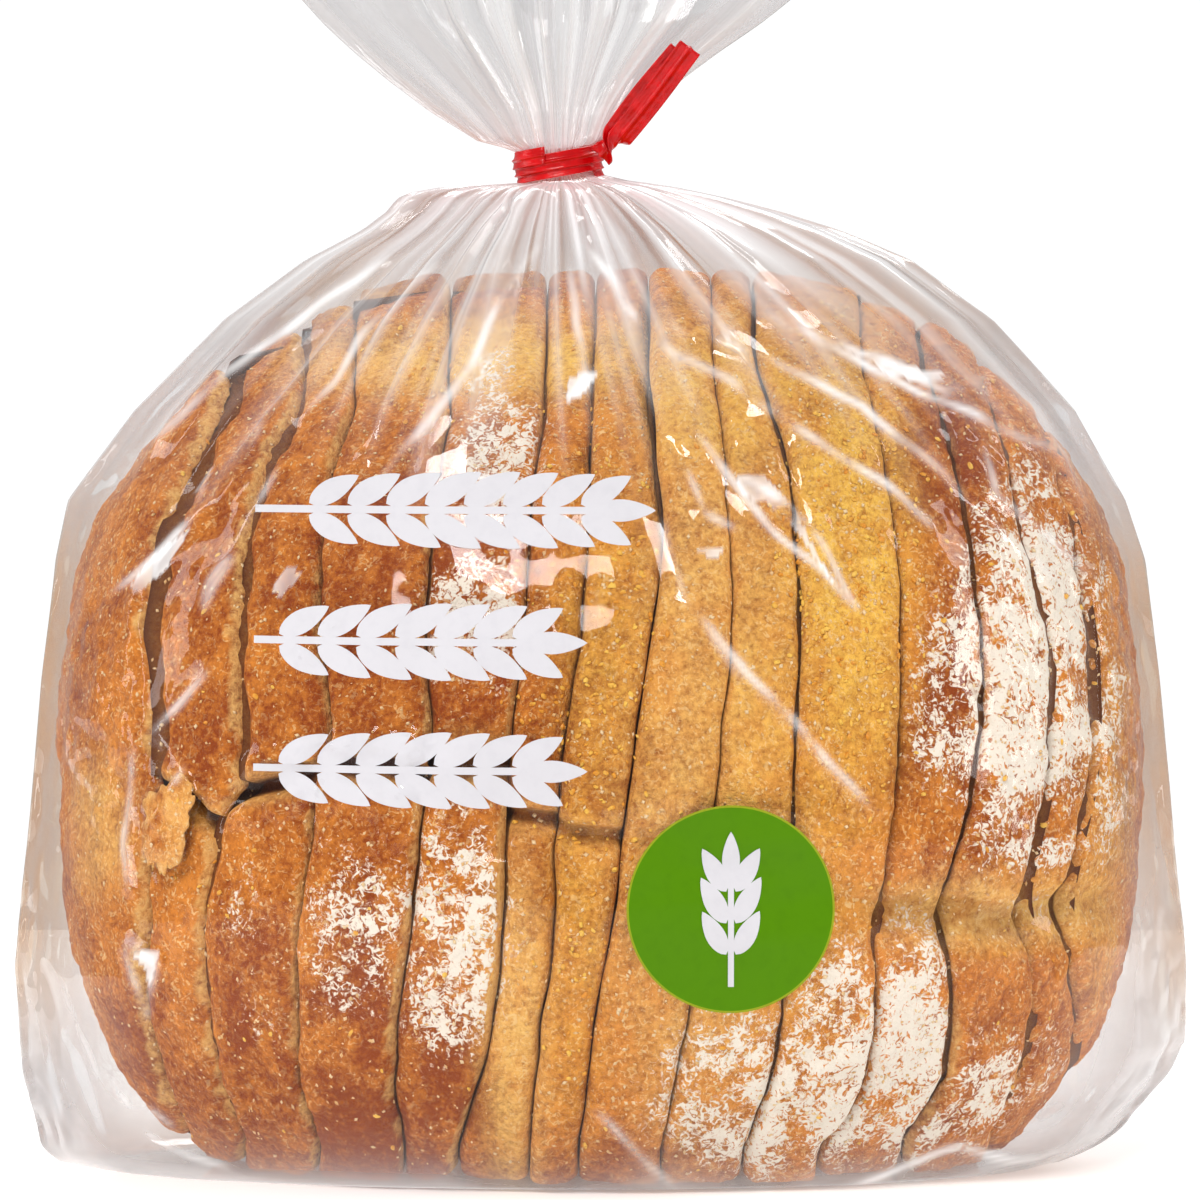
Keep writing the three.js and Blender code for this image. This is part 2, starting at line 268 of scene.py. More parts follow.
def crustMaterial():
    look = crustLook
    material = newMaterial("bakedCrust")
    tree = material.node_tree
    where = addNode(tree, "ShaderNodeTexCoord")
    fine = addNode(tree, "ShaderNodeTexNoise", {"Vector": where.outputs["Object"], "Detail": 3.0,
                                                "Scale": look["grainScale"], "Roughness": 0.7}).outputs["Fac"]
    contrast = maths(tree, "MULTIPLY", maths(tree, "SUBTRACT", fine, 0.5), look["contrast"])
    tone = maths(tree, "ADD", attribute(tree, "tone"), contrast, clamp=True)
    colour = mixColour(tree, tone, look["deep"], look["middle"])
    uneven = maths(tree, "ADD", 0.75, contrast)
    for label in ("pale", "gold"):
        share = maths(tree, "MULTIPLY", attribute(tree, label), uneven, clamp=True)
        colour = mixColour(tree, share, colour, look[label])
    flakes = useGroup(tree, fineSpecks, Softness=0.03, Curl=1.6,
                      Scale=look["flakeScale"], Amount=look["flakeAmount"]).outputs["Mask"]
    share = maths(tree, "ADD", 0.06, maths(tree, "MULTIPLY", attribute(tree, "tone"), 0.6))
    colour = mixColour(tree, maths(tree, "MULTIPLY", share, flakes, clamp=True), colour, look["flake"])
    flour = attribute(tree, "flour")
    powder = useGroup(tree, fineSpecks, Scale=look["powderScale"], Softness=0.06, Curl=1.4,
                      Amount=maths(tree, "MULTIPLY", flour, look["powderAmount"])).outputs["Mask"]
    thin = maths(tree, "MULTIPLY", powder, smoothMask(tree, flour, 0.04, 0.25))
    heaped = smoothMask(tree, maths(tree, "ADD", flour, contrast), 0.25, 0.6)
    thick = maths(tree, "MULTIPLY", powder, heaped)
    colour = mixColour(tree, maths(tree, "MULTIPLY", thin, 0.75), colour, look["thinFlour"])
    colour = mixColour(tree, maths(tree, "MULTIPLY", thick, 0.92), colour, look["flour"])
    uneven = maths(tree, "ADD", 0.6, contrast)
    share = maths(tree, "MULTIPLY", attribute(tree, "edge"), uneven, clamp=True)
    colour = mixColour(tree, share, colour, look["cutEdge"])
    # painted shade in the split and along the gaps
    colour = mixColour(tree, attribute(tree, "hollow"), colour, look["hollow"])
    bump = addNode(tree, "ShaderNodeBump",
                   {"Height": fine, "Strength": look["bump"], "Distance": look["bumpDepth"]})
    finishSurface(tree, colour, look["roughness"], look["specular"], bump)
    return material


crumbLook = {
    "light": srgb(240, 214, 168), "pore": srgb(196, 146, 92), "roughness": 0.9, "bump": 0.6,
    "poreScale": 420.0, "poreAmount": 0.55, "poreSize": 0.5,
}


def crumbMaterial():
    look = crumbLook
    material = newMaterial("softCrumb")
    tree = material.node_tree
    pores = useGroup(tree, looseGrains, Scale=look["poreScale"], Amount=look["poreAmount"],
                     Size=look["poreSize"])
    specks = useGroup(tree, fineSpecks, Scale=900.0, Amount=0.4, Softness=0.08)
    mask = maths(tree, "ADD", maths(tree, "MULTIPLY", pores.outputs["Mask"], 0.6),
                 maths(tree, "MULTIPLY", specks.outputs["Mask"], 0.3), clamp=True)
    colour = mixColour(tree, mask, look["light"], look["pore"])
    # painted shade on the cut face near the crust
    colour = mixColour(tree, attribute(tree, "hollow"), colour, crustLook["hollow"])
    relief = useGroup(tree, softRelief, Coarse=500.0, Fine=1500.0, Share=0.6)
    height = maths(tree, "SUBTRACT", relief.outputs["Height"], pores.outputs["Height"])
    bump = addNode(tree, "ShaderNodeBump", {"Height": height, "Strength": look["bump"], "Distance": 0.0008})
    finishSurface(tree, colour, look["roughness"], bump=bump)
    return material


# the film's colours: the red near the tie is a painted reflection, and the brightest white a painted
# highlight
filmLook = {
    "clear": (0.975, 0.972, 0.97, 1.0), "gathered": (0.66, 0.655, 0.66, 1.0),
    "white": (0.76, 0.74, 0.74, 1.0), "tieReflection": (0.9, 0.5, 0.5, 1.0), "warm": (0.8, 0.66, 0.52, 1.0),
    "glint": (1.0, 0.99, 0.985, 1.0),
    "index": 1.34, "gloss": 1.1, "mostGloss": 0.3, "roughness": 0.04, "hazeOverGloss": 6.0,
}


def filmMaterial():
    look = filmLook
    material = newMaterial("clearFilm")
    tree = material.node_tree
    # milky film, with painted highlights along the creases and fold ridges
    hazeAndHighlight = attribute(tree, "hazeAndHighlight")
    fresnel = addNode(tree, "ShaderNodeFresnel", {"IOR": look["index"]})
    amount = maths(tree, "MULTIPLY", fresnel.outputs["Fac"], look["gloss"])
    amount = maths(tree, "ADD", maths(tree, "MINIMUM", amount, look["mostGloss"]), hazeAndHighlight, clamp=True)
    # grey of layered film, partly painted shade
    tint = mixColour(tree, attribute(tree, "gather"), look["clear"], look["gathered"])
    tint = mixColour(tree, attribute(tree, "warm"), tint, look["warm"])
    clear = addNode(tree, "ShaderNodeBsdfTransparent", {"Color": tint})
    # the tie's red, painted on the film near it as a reflection
    colour = mixColour(tree, attribute(tree, "tieReflection"), look["white"], look["tieReflection"])
    # painted highlight on creases, fold ridges and the outlines
    colour = mixColour(tree, attribute(tree, "glint"), colour, look["glint"])
    metal = maths(tree, "SUBTRACT", 1.0, maths(tree, "MULTIPLY", hazeAndHighlight, look["hazeOverGloss"]), clamp=True)
    gloss = addNode(tree, "ShaderNodeBsdfPrincipled", {"Base Color": colour, "Metallic": metal})
    gloss.inputs["Roughness"].default_value = look["roughness"]
    mixed = addNode(tree, "ShaderNodeMixShader", {0: amount, 1: clear.outputs[0], 2: gloss.outputs[0]})
    addNode(tree, "ShaderNodeOutputMaterial", {"Surface": mixed.outputs[0]})
    return material


def lumpMaterial(name, light, deep, roughness):
    material = newMaterial(name)
    tree = material.node_tree
    specks = useGroup(tree, fineSpecks, Scale=260.0, Amount=0.5, Softness=0.12)
    colour = mixColour(tree, specks.outputs["Mask"], deep, light)
    finishSurface(tree, colour, roughness)
    return material


def inkMaterial(name, colour, roughness, thin):
    material = newMaterial(name)
    tree = material.node_tree
    specks = useGroup(tree, fineSpecks, Scale=500.0, Amount=0.3, Softness=0.2)
    shade = mixColour(tree, maths(tree, "MULTIPLY", specks.outputs["Mask"], 0.5), colour, thin)
    finishSurface(tree, shade, roughness, 0.1)
    return material


def tieMaterial():
    material = newMaterial("redRibbon")
    tree = material.node_tree
    specks = useGroup(tree, fineSpecks, Scale=350.0, Amount=0.4, Softness=0.2)
    colour = mixColour(tree, specks.outputs["Mask"], srgb(190, 1, 6), srgb(222, 8, 16))
    relief = useGroup(tree, softRelief, Coarse=350.0, Fine=1500.0, Share=0.3)
    bump = addNode(tree, "ShaderNodeBump",
                   {"Height": relief.outputs["Height"], "Strength": 0.4, "Distance": 0.0006})
    finishSurface(tree, colour, 0.24, 0.3, bump)
    return material


crust = crustMaterial()
crumb = crumbMaterial()
cornmeal = lumpMaterial("cornmeal", srgb(246, 196, 80), srgb(226, 146, 26), 0.5)
bran = lumpMaterial("branFlakes", srgb(244, 214, 166), srgb(228, 180, 116), 0.65)
filmSkin = filmMaterial()
whiteInk = inkMaterial("whiteInk", srgb(216, 213, 217), 0.45, srgb(208, 205, 210))
greenInk = inkMaterial("greenInk", srgb(82, 134, 0), 0.45, srgb(76, 126, 0))
rimInk = inkMaterial("rimInk", srgb(150, 160, 34), 0.4, srgb(136, 146, 26))
redRibbon = tieMaterial()
print("materials made")

# the loaf

loaf = {
    "halfWidth": 90.5, "middle": 66.0, "halfHeight": 82.0, "squareness": 2.6,
    "halfDepth": 71.5, "deepest": 58.0, "crown": 90.0, "foot": 72.0, "base": 1.0,
    "gap": 0.55, "gapShade": 0.65, "edgeRadius": 2.3, "splitDrop": 0.7, "heel": 55.0, "touch": 0.04,
    "coarseRelief": 0.55, "fineRelief": 0.34,
    "frontRows": 230, "backRows": 130, "baseRows": 16, "across": 31,
}

# where the slicer's cuts show on the front, from the top down, and how far each crosses at those heights
cutHeights = [132.9, 120.1, 105.8, 88.4, 70.9, 61.6, 56.5, 47.7, 41.2, 27.3, 15.6, 5.2]
cuts = [
    [-61.5, -67.5, -72.5, -74.5, -73.0, -73.0, -73.0, -75.0, -76.0, -76.0, -73.5, -69.5],
    [-49.5, -55.5, -58.0, -59.0, -58.5, -58.5, -62.0, -64.5, -65.5, -65.0, -63.0, -59.5],
    [-41.0, -44.5, -46.0, -46.0, -44.5, -44.0, -46.5, -48.5, -49.5, -50.0, -49.0, -46.5],
    [-25.0, -26.5, -28.0, -29.0, -28.0, -27.5, -28.5, -30.5, -31.5, -33.5, -34.0, -32.5],
    [-9.0, -11.0, -12.0, -13.0, -14.5, -14.5, -15.0, -15.5, -16.0, -17.5, -20.5, -23.5],
    [-1.0, -1.5, -2.0, -3.5, -6.0, -7.0, -7.5, -7.5, -7.5, -9.5, -11.0, -11.5],
    [8.0, 9.5, 10.5, 8.0, 5.5, 4.0, 3.5, 2.5, 1.5, -1.0, -2.5, -3.5],
    [18.5, 20.5, 21.5, 21.5, 19.5, 18.5, 17.5, 17.0, 16.5, 14.0, 12.0, 10.0],
    [25.5, 30.0, 32.5, 33.0, 32.0, 31.5, 31.5, 31.0, 31.0, 30.0, 27.5, 23.5],
    [43.5, 46.5, 49.0, 49.5, 49.0, 48.0, 47.5, 46.5, 45.0, 45.0, 44.0, 36.0],
    [53.5, 59.0, 61.5, 63.5, 63.0, 61.0, 59.5, 57.0, 58.0, 59.0, 57.0, 50.5],
    [63.0, 67.5, 70.0, 74.5, 74.5, 73.5, 72.5, 70.5, 71.0, 72.0, 69.5, 65.0],
    [70.0, 76.0, 79.5, 82.0, 82.5, 81.0, 80.0, 77.5, 78.0, 80.0, 79.5, 75.0],
]
leftCuts = 5  # the first cuts step sideways at the split
jumpMiddle = 59.0  # height of that step in the list above

# the split along the loaf's side: height at each slice's two edges, depth, half-width, sharpness of its lip
split = [
    (64, 66, 1.0, 4.0, 0.0), (67.5, 60.5, 5.0, 1.6, 1.0), (66, 69, 5.0, 1.6, 1.0),
    (72.5, 69, 4.0, 2.0, 1.0), (72, 71, 3.5, 2.5, 0.8), (63, 62, 3.0, 1.6, 0.8), (61, 60, 2.5, 1.8, 0.6),
    (58, 56, 0.8, 5.0, 0.0), (54, 52, 0.8, 5.0, 0.0), (48, 46, 1.5, 5.0, 0.0), (46.5, 44.5, 2.8, 4.5, 0.2),
    (45.5, 44, 3.2, 4.5, 0.2), (45, 45, 3.0, 4.0, 0.1), (45, 45, 2.0, 4.0, 0.0),
]
lastSlice = len(split) - 1
# how far the front of each slice lies back
recess = [
    0.3, 1.0, 0.5, 0.2, 1.0, 1.3, 0.5, 0.2, 0.6, 0.0, 1.1, 0.2, 0.9, 0.4,
]
# how far the top of each slice rises
topShift = [
    -3.5, -5.0, -5.5, -6.5, -6.6, -6.3, -5.0, 1.2, 2.4, 2.6, 2.6, 2.8, 2.2, 1.2,
]
# how wide each cut's gap is above and below the split, in gaps
gapScale = [
    (4.0, 0.6), (3.0, 0.7), (1.0, 0.7), (0.7, 0.6), (0.7, 0.8), (0.7, 0.6), (0.5, 0.5), (0.3, 0.3),
    (1.0, 0.7), (1.0, 1.2), (1.2, 1.4), (1.2, 1.2), (0.9, 0.9),
]

# how wide a sliver of crumb shows at the left and right edge of each slice, above and below the split
slivers = [
    ((0, 0), (0.9, 1.0)), ((0.1, 0.2), (1.3, 1.1)), ((0.1, 0.1), (0.8, 0.7)), ((0.1, 0.1), (0.8, 0.9)),
    ((0.2, 0.2), (0.5, 0.8)), ((0.1, 0.2), (0.4, 0.3)), ((0.2, 0.1), (0.2, 0.1)), ((0.1, 0.1), (0.2, 0.1)),
    ((0.2, 0.2), (0.2, 0.2)), ((0.2, 0.2), (0.4, 0.4)), ((0.2, 0.3), (0.3, 0.6)), ((0.2, 0.4), (0.3, 0.8)),
    ((0.2, 0.3), (0.3, 0.6)), ((0.2, 0.2), (0, 0)),
]

# finish of the crust: middle x, middle z, reach across, reach up, strength
flourSpots = [
    (-17, 119, 7, 14, 0.62), (-20, 93, 7, 10, 0.7), (-40, 44, 8, 12, 0.6), (-24, 43, 8, 15, 0.8),
    (70, 84, 12, 27, 0.88), (84, 82, 5, 26, 0.7), (57, 80, 6.5, 16, 0.5), (23, 17, 11, 13, 0.75),
    (39, 22, 8, 16, 0.8), (50, 23, 6.5, 18, 0.8), (63, 15, 6.5, 10, 0.7), (74, 16, 4, 8, 0.55),
    (-58, 47, 4, 6.5, 0.4), (-54, 31, 4, 8, 0.4), (-35, 71, 5.6, 3, 0.4), (11, 11, 5, 6.5, 0.4),
]
grainSpots = [
    (-2, 91, 10, 30, 0.9), (40, 105, 11, 35, 1.0), (-29, 130, 6, 6, 0.7), (-3, 36, 4, 18, 0.5),
    (-61, 48, 4, 6, 0.3),
]
paleSpots = [
    (-24, 134, 30, 6, 0.75), (18, 90, 12, 60, 0.6), (14, 50, 12, 40, 0.65), (-14, 26, 5.5, 28, 0.85),
    (-84, 58, 7, 11, 0.7), (66, 45, 22, 6, 0.9), (-20, 70, 6, 5, 0.6), (27, 105, 8, 30, 0.4),
]
goldSpots = [
    (-8, 135, 22, 7, 0.6), (0, 92, 8, 26, 0.4), (40, 105, 10, 40, 0.8), (30, 60, 12, 40, 0.35),
    (88, 60, 8, 50, 0.4), (20, 130, 20, 12, 0.5), (-4, 40, 5, 30, 0.35),
]
# darker patches, and a band darker towards the bottom
darkSpots = [
    (-22, 96, 9, 34, 0.6), (-36, 92, 9, 36, 0.7), (-54, 92, 16, 36, 0.4), (56, 95, 7, 40, 0.6),
    (-38, 22, 9, 28, 1.0), (-57, 22, 9, 26, 0.9), (-24, 18, 8, 14, 0.9), (-2, 85, 10, 30, 0.25),
    (70, 25, 14, 20, 0.1), (0, 2, 90, 8, 0.5), (-74, 20, 7, 16, 0.45),
]


def loafHalfWidth(z):
    inside = np.maximum(0.0, 1 - (np.abs(z - loaf["middle"]) / loaf["halfHeight"]) ** loaf["squareness"])
    return loaf["halfWidth"] * inside ** (1 / loaf["squareness"])


def loafHalfDepth(z):
    above = np.sqrt(np.maximum(0.0, 1 - ((z - loaf["deepest"]) / loaf["crown"]) ** 2))
    below = np.maximum(0.0, 1 - (np.maximum(0.0, loaf["deepest"] - z) / loaf["foot"]) ** 2.6) ** (1 / 2.6)
    return loaf["halfDepth"] * np.where(z > loaf["deepest"], above, below)


def cutLine(index, z):  # how far across the cut after slice index lies at height z
    left = index < leftCuts
    joint = 0.5 * (split[index][1] + split[index + 1][0])
    shifted = z - (joint - jumpMiddle) * np.exp(-((z - joint) / 16) ** 2) if left else z
    spread = np.linspace(-1.5, 1.5, 9)
    weights = np.exp(-spread ** 2)
    total = 0
    for offset, weight in zip(spread * (0.9 if left else 3.0), weights):
        total = total + weight * np.interp(shifted + offset, cutHeights[::-1], cuts[index][::-1])
    wander = 0.35 * softNoise(np.column_stack([z * 0 + index * 31, z * 0, z]), 7.0, 11)
    return total / weights.sum() + wander


def spots(table, x, z, grow=1.0):
    total = np.zeros(len(x))
    for midX, midZ, reachX, reachZ, strength in table:
        away = (((x - midX) / reachX) ** 2 + ((z - midZ) / reachZ) ** 2) / grow ** 2
        total = np.maximum(total, strength * np.exp(-(away / 1.1) ** 1.6))
    return total


def sliceRows(crackShare):  # shares of the height, closer together at the ends and about the split
    fine = np.linspace(0, 1, 4001)
    density = 1 / np.sqrt(np.maximum(fine * (1 - fine), 2e-4))
    density = density + 9.0 * np.exp(-((fine - crackShare) / 0.03) ** 2)
    summed = np.concatenate([[0], np.cumsum(0.5 * (density[1:] + density[:-1]))])
    return lambda count: np.interp(np.linspace(0, summed[-1], count), summed, fine)


def sliceSides(index, heights):  # left and right edge of a slice at each height
    reach = loafHalfWidth(heights)

    def gapAt(cut):
        upper, lower = gapScale[cut]
        joint = 0.5 * (split[cut][1] + split[cut + 1][0])
        scale = lower + (upper - lower) * smoothStep(joint - 3, joint + 3, heights)
        ragged = softNoise(np.column_stack([heights * 0 + cut * 17, heights * 0, heights]), 6.0, 13)
        return 0.5 * loaf["gap"] * scale * (0.85 + 0.6 * ragged)

    left = -reach if index == 0 else np.maximum(cutLine(index - 1, heights) + gapAt(index - 1), -reach)
    right = reach if index == lastSlice else np.minimum(cutLine(index, heights) - gapAt(index), reach)
    return left, right


def outwardFrom(x, y, z):  # direction that the loaf's smooth surface faces
    step = 0.5
    steepWidth = (loafHalfWidth(z + step) - loafHalfWidth(z - step)) / (2 * step)
    steepDepth = (loafHalfDepth(z + step) - loafHalfDepth(z - step)) / (2 * step)
    deep = np.maximum(loafHalfDepth(z), 2.0)
    wide = np.maximum(loafHalfWidth(z), 2.0)
    out = np.stack([2 * x / wide ** 2, 2 * y / deep ** 2,
                    -2 * x ** 2 * steepWidth / wide ** 3 - 2 * y ** 2 * steepDepth / deep ** 3], axis=-1)
    return out / np.maximum(np.linalg.norm(out, axis=-1, keepdims=True), 1e-6)


def sliceEdges(index, across, width, z, joint):  # how far the edges drop, and where crumb shows on them
    drop = np.zeros_like(width)
    bare = np.zeros_like(width)
    radius = loaf["edgeRadius"]
    for end, cutAway in ((0, index > 0), (1, index < lastSlice)):
        if not cutAway:
            continue
        away = np.abs(end - across)[None, :] * width
        near = np.minimum(away, radius)
        drop += radius - np.sqrt(np.maximum(0.0, radius ** 2 - (radius - near) ** 2))
        upper, lower = slivers[index][end]
        along = np.column_stack([z.ravel() * 0 + index * 9 + end * 40, z.ravel() * 0, z.ravel()])
        ragged = (0.7 * softNoise(along, 4.0, 15) + 0.6 * softNoise(along, 1.4, 16)).reshape(z.shape)
        sliver = lower + (upper - lower) * smoothStep(joint - 2, joint + 2, z)
        sliver = sliver * np.maximum(0.0, 0.75 + ragged)
        drop += 0.5 * np.maximum(0.0, sliver - away)
        bare = np.maximum(bare, np.clip((sliver - away) / 0.35 + 0.5, 0, 1) * np.clip(sliver / 0.6, 0, 1))
    return drop, bare


def finishPlace(x, front):  # the back has the front's finish, mirrored and moved aside
    return np.where(front, x, -0.93 * x + 4)


def sliceMasks(points, hollow, bare, torn, relief):  # finish of the crust at each point, from 0 to 1, with painted shade in the split, along the gaps and behind the crest
    x, y, z = (points[..., i].ravel() for i in range(3))
    seen = finishPlace(x, y < 0)
    ragged = np.column_stack([seen, y * 0, z])
    flat = points.reshape(-1, 3)
    wobble = 0.45 * softNoise(ragged, 4.5, 31) + 0.45 * softNoise(ragged, 1.6, 33)
    flour = spots(flourSpots, seen, z, 1.3)
    depth = np.abs(y) + 7 * softNoise(flat, 9, 37)
    away = np.where(np.abs(x) > loaf["heel"], smoothStep(4, 30, depth), 1.0)  # front and back meet softly
    flour = np.clip(flour * (1.1 + wobble + 0.25 * softNoise(ragged, 9, 35)), 0, 1) * away
    dark = spots(darkSpots, seen, z) * (1 + 0.5 * wobble)
    streaks = np.column_stack([seen, y, z * 0.35])
    tone = 0.62 + 0.2 * softNoise(flat, 24, 91) + 0.24 * softNoise(flat, 8, 93)
    tone = tone + 0.26 * softNoise(streaks, 3.4, 95)
    # the tone is darker where the fine relief dips, and takes the painted shade behind the crest
    tone += 0.2 * softNoise(flat, 1.6, 97) + 0.5 * relief.ravel() - 0.62 * dark
    return {
        "tone": np.clip(tone, 0, 1),
        "flour": flour * (1 - bare.ravel()),
        "pale": np.clip(spots(paleSpots, seen, z) * (1 + 0.6 * wobble) * away + 0.6 * torn.ravel(), 0, 1),
        "gold": np.clip(spots(goldSpots, seen, z) * (1 + 0.6 * wobble) * away, 0, 1),
        "edge": bare.ravel(),
        "hollow": hollow.ravel(),
    }


def meetingPlace(cut, z):  # the cut, kept inside the loaf
    reach = np.maximum(loafHalfWidth(np.clip(z, 4, 140)) - 1.5, 0)
    return np.clip(cutLine(cut, z), -reach, reach)


def cutFaces(points, end, cut, vertices, faces, total):  # the flat cut, in rings towards its middle
    rings = len(points)
    outline = points[:, end]
    middle = outline.mean(axis=0)
    previous = np.arange(rings) * loaf["across"] + end
    turned = 1 if end == 0 else -1
    firsts = []
    for shrink in (0.975, 0.88, 0.6, 0.3):
        ring = middle + (outline - middle) * shrink
        ring[:, 0] = meetingPlace(cut, ring[:, 2]) + loaf["touch"] * turned  # the slices nearly touch
        vertices.append(ring)
        current = total + np.arange(rings)
        total += rings
        firsts.append(len(faces))
        for row in range(rings):
            after = (row + 1) % rings
            faces.append((previous[row], current[row], current[after], previous[after])[::turned])
        previous = current
    middle[0] = meetingPlace(cut, middle[None, 2])[0] + loaf["touch"] * turned
    vertices.append(middle[None])
    for row in range(rings):
        faces.append((previous[row], total, previous[(row + 1) % rings])[::turned])
    return total + 1, firsts[1]


def sliceGrid(index):  # the loaf's smooth surface along a slice, ring by ring, with the slice's width
    heights = np.arange(loaf["base"], loaf["middle"] + loaf["halfHeight"] + 0.01, 0.1)
    left, right = sliceSides(index, heights)
    inside = np.nonzero(right - left > 0.15)[0]
    low, high = heights[inside[0]], heights[inside[-1]]
    rows = sliceRows((splitHeight(index, 0.5) - low) / (high - low))
    share = np.concatenate([rows(loaf["frontRows"]), rows(loaf["backRows"])[::-1]])
    side = np.concatenate([-np.ones(loaf["frontRows"]), np.ones(loaf["backRows"])])[:, None]
    z = low + (high - low) * share
    across = 0.5 - 0.5 * np.cos(np.pi * np.linspace(0, 1, loaf["across"]))
    xLeft, xRight = np.interp(z, heights, left), np.interp(z, heights, right)
    ringZ = np.repeat(z[:, None], loaf["across"], axis=1)
    ringX = xLeft[:, None] + (xRight - xLeft)[:, None] * across[None, :]
    width = (xRight - xLeft)[:, None] * np.ones_like(ringX)
    wide = np.maximum(loafHalfWidth(z), 0.5)[:, None]
    ringY = side * loafHalfDepth(ringZ) * np.sqrt(np.maximum(0.0, 1 - (ringX / wide) ** 2))
    return np.stack([ringX, ringY, ringZ], axis=-1), width, across


def splitHeight(index, across):  # height of the split over a slice, across from 0 to 1
    return split[index][0] + (split[index][1] - split[index][0]) * across - loaf["splitDrop"]


def splitForm(index, points, across, front):  # how the split moves the crust, where painted shade darkens it and where torn
    depth, half, lip = split[index][2:]
    x, y, z = (points[..., i] for i in range(3))
    flatX = np.column_stack([x.ravel(), x.ravel() * 0, x.ravel() * 0])
    above = z - (splitHeight(index, across)[None, :] + 1.1 * softNoise(flatX, 4.0, 21).reshape(x.shape))
    reach = np.where(above > 0, half * (1 - 0.6 * lip), half * (1 + 0.7 * lip))
    fade = np.where(np.abs(x) > loaf["heel"], smoothStep(1, 20, np.abs(y)), 1.0)
    groove = np.exp(-np.abs(above / reach) ** (2 + lip)) * fade
    rim = 0.9 * lip * np.exp(-((above - 2.6) / 2.2) ** 2)
    deep = min(1.0, depth / 4)
    # painted shade deep in the split
    hollow = smoothStep(0.35, 0.95, groove) * deep * (0.25 + 0.75 * lip)
    torn = np.exp(-((np.abs(above) - reach) / 1.6) ** 2) * deep * lip
    return (np.where(front, values, 0.0) for values in (rim - depth * groove, hollow, torn))


def makeSlice(index):
    points, width, across = sliceGrid(index)
    front = (np.arange(len(points)) < loaf["frontRows"])[:, None]
    out = outwardFrom(*(points[..., i] for i in range(3)))
    flat = points.reshape(-1, 3)
    relief = loaf["coarseRelief"] * softNoise(flat, 9.0, 3) + 0.42 * softNoise(flat, 3.6, 5)
    fine = loaf["fineRelief"] * softNoise(flat, 1.9, 7) + 0.55 * loaf["fineRelief"] * softNoise(flat, 1.1, 9)
    fine = fine.reshape(width.shape)
    push = relief.reshape(width.shape) + fine - recess[index]
    rise, hollow, torn = splitForm(index, points, across, front)
    drop, bare = sliceEdges(index, across, width, points[..., 2], splitHeight(index, 0.5))
    ends = [end for end, cutAway in ((0, index > 0), (loaf["across"] - 1, index < lastSlice)) if cutAway]
    for end in ends:
        hollow[:, end] = np.maximum(hollow[:, end], loaf["gapShade"])  # painted shade from the cut edge inwards
    points = points + out * (push + rise - drop)[..., None]
    behind = max(0.0, -topShift[index]) * 1.3 * smoothStep(-16, 4, points[..., 1])  # the crest's far side
    behind = behind * smoothStep(118, 146, points[..., 2])
    points[..., 2] += topShift[index] * smoothStep(85, 142, points[..., 2]) + behind
    # painted shade: the crest's far side is made darker in the tone
    fine = fine - 0.16 * behind
    points[..., 2] = np.maximum(points[..., 2], loaf["base"])
    count = loaf["baseRows"]  # the flat base closes each ring
    ease = np.linspace(0, 1, count + 2)[1:-1, None, None]
    points = np.concatenate([points, points[-1] + (points[0] - points[-1])[None] * ease])
    flatBase = np.zeros((count, loaf["across"]))
    masks = sliceMasks(points, *(np.concatenate([mask, flatBase]) for mask in (hollow, bare, torn, fine)))
    faces = gridFaces(len(points), loaf["across"], False)
    top = (len(points) - 1) * loaf["across"]
    faces += [(top + j, top + j + 1, j + 1, j) for j in range(loaf["across"] - 1)]
    vertices = [points.reshape(-1, 3)]
    total = len(vertices[0])
    crumbFaces = []
    for end in ends:
        total, first = cutFaces(points, end, index - 1 if end == 0 else index, vertices, faces, total)
        crumbFaces.append((first, len(faces)))
    allPoints = np.concatenate(vertices)
    extra = len(allPoints) - len(vertices[0])
    oneCut = np.repeat([1.0, 0.0], [2 * len(points), 2 * len(points) + 1])  # painted shade near the crust
    for label in masks:
        added = np.tile(oneCut, len(crumbFaces)) if label == "hollow" else np.full(extra, 0.2)
        masks[label] = np.concatenate([masks[label], added])
    faces = [tuple(map(int, face)) for face in faces]
    piece = makePiece("slice_%02d" % (index + 1), allPoints, faces, masks)
    piece.data.materials.append(crust)
    piece.data.materials.append(crumb)
    kinds = np.zeros(len(faces), dtype=np.int32)
    for first, last in crumbFaces:
        kinds[first:last] = 1
    piece.data.polygons.foreach_set("material_index", kinds)
    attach(piece, "root")
    return piece


slices = [makeSlice(index) for index in range(lastSlice + 1)]
print("slices made:", sum(len(piece.data.vertices) for piece in slices), "points")

# a flap of crust torn loose beside the first cut

flap = {
    "left": -75.5, "right": -65.5, "low": 50.5, "high": 67.5, "lift": 1.2, "thickness": 1.9,
    "steps": (30, 44),
}


